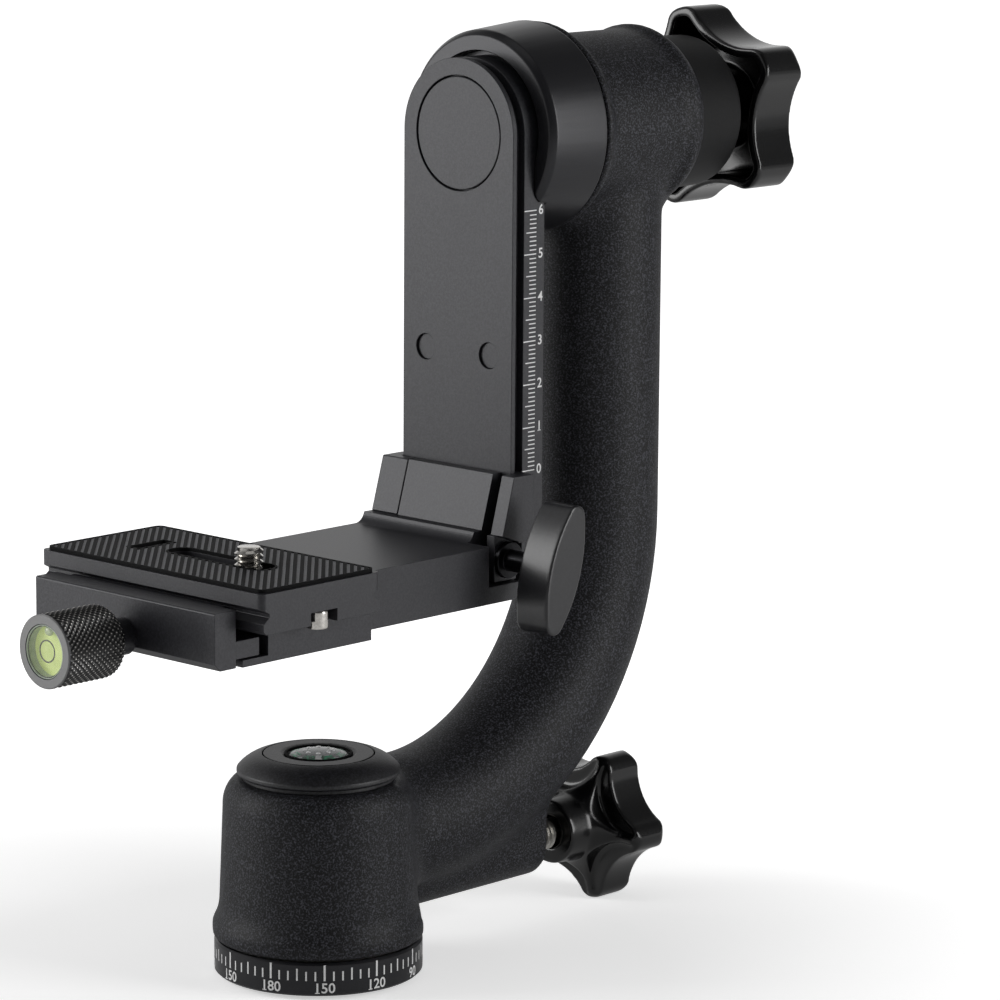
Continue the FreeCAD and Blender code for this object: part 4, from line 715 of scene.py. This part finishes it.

# Diamond knurl: pyramids pressed round the knob by two crossing spiral wheels. Each tip is marked 1 in a point
# attribute, which tells the material where to paint a highlight for the light the tips catch.
KNURL_COLUMNS = 76
KNURL_ROWS = 22
KNURL_DEPTH = 0.38
KNURL_START = 0.45
knurl = bmesh.new()
bmesh.ops.create_grid(knurl, x_segments=KNURL_ROWS, y_segments=KNURL_COLUMNS, size=0.5)
lit_tip = knurl.verts.layers.float.new("lit_tip")
knurl_run = KNOB_LENGTH - KNURL_START
for vertex in knurl.verts:
    row, column = round((vertex.co.x + 0.5) * KNURL_ROWS), round((vertex.co.y + 0.5) * KNURL_COLUMNS)
    along = KNURL_START + knurl_run * row / KNURL_ROWS
    into_round = max(0.0, along - (KNOB_LENGTH - BACK_ROUND))
    radius = KNOB_RADIUS - BACK_ROUND + math.sqrt(max(BACK_ROUND ** 2 - into_round ** 2, 0))
    if (row + column) % 2 or row in (0, KNURL_ROWS):
        radius -= KNURL_DEPTH
    else:
        vertex[lit_tip] = 1
    angle = 2 * math.pi * column / KNURL_COLUMNS
    vertex.co = Vector((radius * math.cos(angle), radius * math.sin(angle), along)) * MM
bmesh.ops.remove_doubles(knurl, verts=knurl.verts, dist=1e-7)
bmesh.ops.poke(knurl, faces=knurl.faces)

# Both rims are drawn in, so that no gap shows between knurl and knob
RIM_SHARE = 0.7
rims = [edge for edge in knurl.edges if edge.is_boundary]
for rim in (min(rims, key=lambda e: e.verts[0].co.z), max(rims, key=lambda e: e.verts[0].co.z)):
    level = rim.verts[0].co.z
    ring = [e for e in rims if abs(e.verts[0].co.z - level) < 1e-6]
    inner = bmesh.ops.extrude_edge_only(knurl, edges=ring)["geom"]
    for vertex in (v for v in inner if isinstance(v, bmesh.types.BMVert)):
        vertex.co.x *= RIM_SHARE
        vertex.co.y *= RIM_SHARE
bmesh.ops.recalc_face_normals(knurl, faces=knurl.faces)
knurl.transform(knob_place)
# Painted shade and light: black for the shade in the knurl's valleys, and a painted highlight of bright metal
# on each tip, where the tips catch the light
HIGHLIGHT_START = 0.72
HIGHLIGHT_END = 0.92
knurled_anodised = finish_of("knurled black anodised aluminium", "#060606", 0.2, 0.004, Roughness=0.32)
tip_light = add(knurled_anodised, "ShaderNodeAttribute", attribute_name="lit_tip").outputs["Fac"]
tip_highlight_ramp = add(knurled_anodised, "ShaderNodeValToRGB", {"Fac": tip_light})
for stop, position, shade in zip(tip_highlight_ramp.color_ramp.elements, (HIGHLIGHT_START, HIGHLIGHT_END),
                                 ("#060606", "#d6d3cf")):
    stop.position = position
    stop.color = linear(shade)
tip_metallic = add(knurled_anodised, "ShaderNodeMapRange",
           {"Value": tip_light, "From Min": HIGHLIGHT_START, "From Max": HIGHLIGHT_END})
knurl_shader = knurled_anodised.node_tree.nodes["Principled BSDF"]
knurled_anodised.node_tree.links.new(tip_highlight_ramp.outputs["Color"], knurl_shader.inputs["Base Color"])
knurled_anodised.node_tree.links.new(tip_metallic.outputs["Result"], knurl_shader.inputs["Metallic"])
piece("clamp_knob_knurl", knurl, "clamp_knob", "anodised", knurled_anodised)

# The bubble level in the knob's end: a frosted cup of yellow-green spirit under a clear acrylic window,
# with a black ring printed behind the window and the bubble at the top of the cup
CUP_DEPTH = 2.3
CUP_FOOT = 5.45
CUP_MOUTH = 5.68
CUP_RADIUS = 5.85
CUP_FRONT = 0.15
CUP_BACK = 5.7
cup = bmesh.new()
lathe(cup, [(0, CUP_DEPTH), (CUP_FOOT, CUP_DEPTH), (CUP_MOUTH, CUP_FRONT), (CUP_RADIUS, CUP_FRONT),
            (CUP_RADIUS, CUP_BACK), (0, CUP_BACK)])
smooth(cup)
for face in cup.faces:
    if max(abs(vertex.co.z / MM - CUP_DEPTH) for vertex in face.verts) < 0.01:
        face.material_index = 1
cup.transform(knob_place)
# Frosted acrylic, grey-green where the spirit shows through it
frosted_acrylic = finish_of("frosted grey-green acrylic", "#a9b5a6", 2.5, 0.001, "#c3cdbf", Roughness=0.3)
# The spirit is given a faint glow of its own, painted light that lifts it out of the shade of the cup
spirit_with_painted_glow = finish_of("yellow-green spirit with painted glow", "#d6e494", 3.0, 0.0005, "#e0ec9e", Roughness=0.3,
                         Emission_Color=linear("#c9dc78"), Emission_Strength=0.22)
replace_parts(piece("level_cup", cup, "clamp_knob", "level_fluid", frosted_acrylic, spirit_with_painted_glow), "level_vial")
PANE_FRONT = 0.12
PANE_BACK = 0.85
PANE_RADIUS = 5.6
PANE_CHAMFER = 0.1
window = bmesh.new()
lathe(window, [(0, PANE_FRONT), (PANE_RADIUS - PANE_CHAMFER, PANE_FRONT),
               (PANE_RADIUS, PANE_FRONT + PANE_CHAMFER), (PANE_RADIUS, PANE_BACK), (0, PANE_BACK)])
smooth(window)
window.transform(knob_place)
# Cast acrylic is clear, so only its highlights show
clear_acrylic = finish_of("clear acrylic window", "#f2f6ee", 2.0, 0.0005,
                          Roughness=0.05, Alpha=0.08, IOR=1.49)
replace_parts(piece("level_window", window, "clamp_knob", "clear_lens", clear_acrylic), "level_lens")
# Screen ink: black with the spirit's green in it
ring_ink = finish_of("black ring ink", "#15180e", 0.5, 0.001, "#1a1c12", Roughness=0.4)
RING_INNER = 2.2
RING_OUTER = 2.5
RING_FRONT = 0.88
RING_BACK = 0.98
level_ring = bmesh.new()
lathe(level_ring, [(RING_INNER, RING_FRONT), (RING_OUTER, RING_FRONT), (RING_OUTER, RING_BACK),
                   (RING_INNER, RING_BACK), (RING_INNER, RING_FRONT)], 64)
smooth(level_ring)
level_ring.transform(knob_place)
piece("level_ring", level_ring, "clamp_knob", "level_fluid", ring_ink)
# Air in the spirit: greyer than the spirit, with a sharp highlight
air_bubble = finish_of("air bubble", "#c4d0aa", 3.0, 0.0005, Roughness=0.08)
BUBBLE_RADIUS = 1.3
BUBBLE_UP = 4.3
BUBBLE_IN = 1.5
bubble = bmesh.new()
bmesh.ops.create_uvsphere(bubble, u_segments=32, v_segments=16, radius=BUBBLE_RADIUS * MM)
bmesh.ops.scale(bubble, vec=(0.8, 1, 0.4), verts=bubble.verts)
bmesh.ops.translate(bubble, vec=(-BUBBLE_UP * MM, 0, BUBBLE_IN * MM), verts=bubble.verts)
smooth(bubble)
bubble.transform(knob_place)
piece("level_bubble", bubble, "clamp_knob", "level_fluid", air_bubble)


# Quick-release plate: a dovetail bar of anodised aluminium with a ribbed rubber pad bonded on. Two plated
# stop screws under its ends keep it in the clamp.
dressed("qr_plate", satin_anodised, "anodised", bevel_mm=0.25)
# Moulded rubber: the deepest black, dull, so the ribs show by the grooves between them
pad_rubber = finish_of("moulded black rubber", "#040405", 0.4, 0.01, "#09090a", Roughness=0.75,
                       Specular_IOR_Level=0.15)
# The floors of the grooves are painted pale, a painted highlight for the light the grooves catch, which sets
# them off from the dark ribs
groove_highlight_rubber = finish_of("rubber with painted groove highlight", "#98989b", 0.5, 0.01, "#a9a9ac", Roughness=0.7)
RIB_PITCH = 1.545
RIB_WIDTH = 0.85
RIB_HEIGHT = 0.22
PAD_RIM = 0.45
pad = bmesh.new()
pad.from_mesh(frame["nodes"]["rubber_pad"].data)
bmesh.ops.remove_doubles(pad, verts=pad.verts, dist=1e-6)
bmesh.ops.dissolve_limit(pad, angle_limit=math.radians(0.5), verts=pad.verts, edges=pad.edges)
pad_low, pad_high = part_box("rubber_pad")
pad_middle = (pad_low + pad_high) / 2
# The ribs run slantwise over the top, inside a plain rim: the top is cut along both sides of each rib, and
# the floors between the ribs are sunk
FACES_UP = 0.9
tops = [face for face in pad.faces if face.normal.z > FACES_UP and face.calc_center_median().z > pad_middle.z]
rim = bmesh.ops.inset_region(pad, faces=tops, thickness=PAD_RIM * MM, use_boundary=True, use_even_offset=True)
field = [face for face in tops if face.is_valid and face not in set(rim["faces"])]
across = Vector((1, -1, 0)).normalized()
reach = (pad_high - pad_low).length / 2 / MM
count = int(reach / RIB_PITCH) + 1
for rib in range(-count, count + 1):
    for offset in (0, RIB_WIDTH):
        middle = pad_middle + across * (rib * RIB_PITCH + offset) * MM
        edges = {edge for face in field for edge in face.edges}
        verts = {vertex for face in field for vertex in face.verts}
        old = set(pad.faces)
        bmesh.ops.bisect_plane(pad, geom=list(verts) + list(edges) + field, plane_co=middle, plane_no=across)
        field = [face for face in field if face.is_valid] + [face for face in pad.faces if face not in old]
grooves = []
for face in field:
    where = (face.calc_center_median() - pad_middle).dot(across) / MM % RIB_PITCH
    if where > RIB_WIDTH:
        grooves.append(face)
sunk = bmesh.ops.extrude_face_region(pad, geom=grooves)["geom"]
floors = [part for part in sunk if isinstance(part, bmesh.types.BMVert)]
bmesh.ops.translate(pad, vec=(0, 0, -RIB_HEIGHT * MM), verts=floors)
bmesh.ops.delete(pad, geom=grooves, context="FACES")
bmesh.ops.recalc_face_normals(pad, faces=pad.faces)
for face in pad.faces:
    if face.normal.z > FACES_UP and face.calc_center_median().z < pad_high.z - RIB_HEIGHT * MM / 2:
        face.material_index = 1
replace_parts(piece("ribbed_pad", pad, "plate", "pad_rubber", pad_rubber, groove_highlight_rubber), "rubber_pad")
# Nickel plate over polished steel: a mirror, a shade warmer than chromium
bright_nickel = finish_of("bright nickel-plated steel", "#c9c6c1", 0.6, 0.004, "#b5b2ad", Roughness=0.16,
                          Metallic=1.0)
moulded("plate_stop_screws", bright_nickel, "bare_steel", 0.15, 14)


# The 1/4-20 camera screw is nickel-plated steel. It turns in the plate's slot, and a black washer over its
# head holds it there.
bolt_low, bolt_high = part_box("camera_screw")
bolt_axis = Vector(((bolt_low.x + bolt_high.x) / 2, (bolt_low.y + bolt_high.y) / 2, 0))
head_foot, head_top, tip = bolt_low.z / MM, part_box("camera_screw_washer")[0].z / MM, bolt_high.z / MM
HEAD_RADIUS = 6.2
HEAD_ROUND = 0.3
BOLT_CORE = 2.5
BOLT_CREST = 3.175
BOLT_PITCH = 1.27
BOLT_NECK = 3.2
BOLT_LEAD = 0.75
camera_bolt = bmesh.new()
lathe(camera_bolt, [(0, head_foot), (HEAD_RADIUS - HEAD_ROUND, head_foot),
                    (HEAD_RADIUS, head_foot + HEAD_ROUND), (HEAD_RADIUS, head_top), (BOLT_CORE, head_top),
                    (BOLT_CORE, tip - 0.1), (BOLT_CORE - 0.2, tip), (0, tip)])
thread_on(camera_bolt, BOLT_CORE, BOLT_CREST, BOLT_PITCH, head_top + BOLT_NECK, tip - BOLT_LEAD)
smooth(camera_bolt)
camera_bolt.transform(Matrix.Translation(bolt_axis))
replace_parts(piece("camera_screw_threaded", camera_bolt, "camera_screw", "bare_steel", bright_nickel),
            "camera_screw")
paint("camera_screw_washer", black_steel)


# The table top that it stands on, in a white surround, with broad soft lights at both sides and above.
# The pan lock's knob reaches a little below the base, so the top lies just under the knob.
FLOOR_GAP = 0.02
floor_mesh = bmesh.new()
bmesh.ops.create_grid(floor_mesh, x_segments=1, y_segments=1, size=3)
bmesh.ops.translate(floor_mesh, vec=(0, 0, cad_box[0][2] - FLOOR_GAP * MM), verts=floor_mesh.verts)
mesh = bpy.data.meshes.new("table_top")
floor_mesh.to_mesh(mesh)
floor_mesh.free()
floor = bpy.data.objects.new("table_top", mesh)
bpy.context.scene.collection.objects.link(floor)
white_top = bpy.data.materials.new("white table top")
white_top.use_nodes = True
white_top.node_tree.nodes.clear()
# To the eye and through glass the top runs out to pure white, and gloss sees a quarter of that. Near the
# object it keeps the shadow.
FLOOR_IN_GLOSS = 0.25
ray = add(white_top, "ShaderNodeLightPath")
in_gloss = add(white_top, "ShaderNodeMath", {0: ray.outputs["Is Glossy Ray"], 1: FLOOR_IN_GLOSS},
               operation="MULTIPLY")
glossy_or_camera = add(white_top, "ShaderNodeMath",
                       {0: ray.outputs["Is Camera Ray"], 1: in_gloss.outputs[0]}, operation="MAXIMUM")
shown = add(white_top, "ShaderNodeMath",
            {0: glossy_or_camera.outputs[0], 1: ray.outputs["Is Transmission Ray"]}, operation="MAXIMUM")
from_middle = add(white_top, "ShaderNodeVectorMath",
                  {0: add(white_top, "ShaderNodeTexCoord").outputs["Object"]}, operation="LENGTH")
far = add(white_top, "ShaderNodeMapRange", {"Value": from_middle.outputs["Value"],
                                            "From Min": 0.08, "From Max": 0.3, "To Min": 0.5, "To Max": 1.0})
strength = add(white_top, "ShaderNodeMath", {0: far.outputs["Result"], 1: shown.outputs[0]},
               operation="MULTIPLY")
matt = add(white_top, "ShaderNodeBsdfDiffuse", {"Color": linear("#f2f2f2")})
glow = add(white_top, "ShaderNodeEmission", {"Color": linear("#ffffff"), "Strength": strength.outputs[0]})
lit = add(white_top, "ShaderNodeAddShader")
white_top.node_tree.links.new(matt.outputs[0], lit.inputs[0])
white_top.node_tree.links.new(glow.outputs[0], lit.inputs[1])
add(white_top, "ShaderNodeOutputMaterial", {"Surface": lit.outputs[0]})
mesh.materials.append(white_top)

# The surround is pure white to the eye. It lights the object more from the left than from the right.
world = bpy.data.worlds.new("white studio")
bpy.context.scene.world = world
world.use_nodes = True
world.node_tree.nodes.clear()
path = add(world, "ShaderNodeLightPath")
direction = add(world, "ShaderNodeTexCoord").outputs["Generated"]
TO_LEFT = (-0.75, 0.66, 0.0)
TO_BACK = (0.73, 0.68, 0.0)
DIMMEST = 0.06
side = add(world, "ShaderNodeVectorMath", {0: direction, 1: TO_LEFT}, operation="DOT_PRODUCT")
left = add(world, "ShaderNodeMapRange", {"Value": side.outputs["Value"], "From Min": 0.25,
                                         "From Max": 0.95, "To Min": DIMMEST, "To Max": 0.75})
right = add(world, "ShaderNodeMapRange", {"Value": side.outputs["Value"], "From Min": -0.25,
                                          "From Max": -0.95, "To Min": DIMMEST, "To Max": 0.16})
bright = add(world, "ShaderNodeMath", {0: left.outputs["Result"], 1: right.outputs["Result"]},
             operation="MAXIMUM")
# Gloss sees the white paper that stands behind the object
behind = add(world, "ShaderNodeVectorMath", {0: direction, 1: TO_BACK}, operation="DOT_PRODUCT")
paper = add(world, "ShaderNodeMapRange", {"Value": behind.outputs["Value"], "From Min": 0.55,
                                          "From Max": 0.95, "To Min": 0.0, "To Max": 0.9})
mirrored = add(world, "ShaderNodeMath", {0: path.outputs["Is Glossy Ray"], 1: paper.outputs["Result"]},
               operation="MULTIPLY")
seen = add(world, "ShaderNodeMath",
           {0: path.outputs["Is Camera Ray"], 1: path.outputs["Is Transmission Ray"]}, operation="MAXIMUM")
white_or_mirrored = add(world, "ShaderNodeMath", {0: seen.outputs[0], 1: mirrored.outputs[0]},
                        operation="MAXIMUM")
strength = add(world, "ShaderNodeMath", {0: white_or_mirrored.outputs[0], 1: bright.outputs[0]},
               operation="MAXIMUM")
sky = add(world, "ShaderNodeBackground", {"Color": linear("#ffffff"), "Strength": strength.outputs[0]})
add(world, "ShaderNodeOutputWorld", {"Surface": sky.outputs[0]})


def softbox(name, at, aim, width, height, power):
    """A rectangular soft light at a place, turned to a point, all in metres."""
    light = bpy.data.lights.new(name, "AREA")
    light.shape = "RECTANGLE"
    light.size = width
    light.size_y = height
    light.energy = power
    holder = bpy.data.objects.new(name, light)
    bpy.context.scene.collection.objects.link(holder)
    holder.location = at
    holder.rotation_euler = (Vector(aim) - Vector(at)).to_track_quat("-Z", "Y").to_euler()


softbox("left softbox", (-0.62, 0.65, 0.27), aim=(0.03, 0, 0.12), width=0.4, height=0.7, power=4.5)
softbox("right softbox", (0.4, -0.82, 0.27), aim=(0.03, 0, 0.12), width=0.4, height=0.7, power=5.0)
softbox("top softbox", (0.0, 0.0, 1.1), aim=(0.03, 0, 0.1), width=0.6, height=0.6, power=0.5)


# The camera stands a metre off, a little higher than the head, and looks down by its dip. A long lens
# keeps the uprights nearly parallel.
CAMERA_PLACE = Vector((-694.709, -707.435, 294.753))
LENS = 161.714
YAW, DIP, ROLL = math.radians(43.165), math.radians(10.626), math.radians(0.421)
forward = Vector((math.cos(YAW) * math.cos(DIP), math.sin(YAW) * math.cos(DIP), -math.sin(DIP)))
level = Vector((math.sin(YAW), -math.cos(YAW), 0))
rise = level.cross(forward)
right = math.cos(ROLL) * level + math.sin(ROLL) * rise
up = -math.sin(ROLL) * level + math.cos(ROLL) * rise
camera_data = bpy.data.cameras.new("camera")
camera_data.lens = LENS
camera_data.sensor_width = 36
camera = bpy.data.objects.new("camera", camera_data)
bpy.context.scene.collection.objects.link(camera)
turn = Matrix((right, up, -forward)).transposed().to_4x4()
camera.matrix_world = Matrix.Translation(CAMERA_PLACE * MM) @ turn
bpy.context.scene.camera = camera
bpy.context.scene.view_settings.view_transform = "Standard"
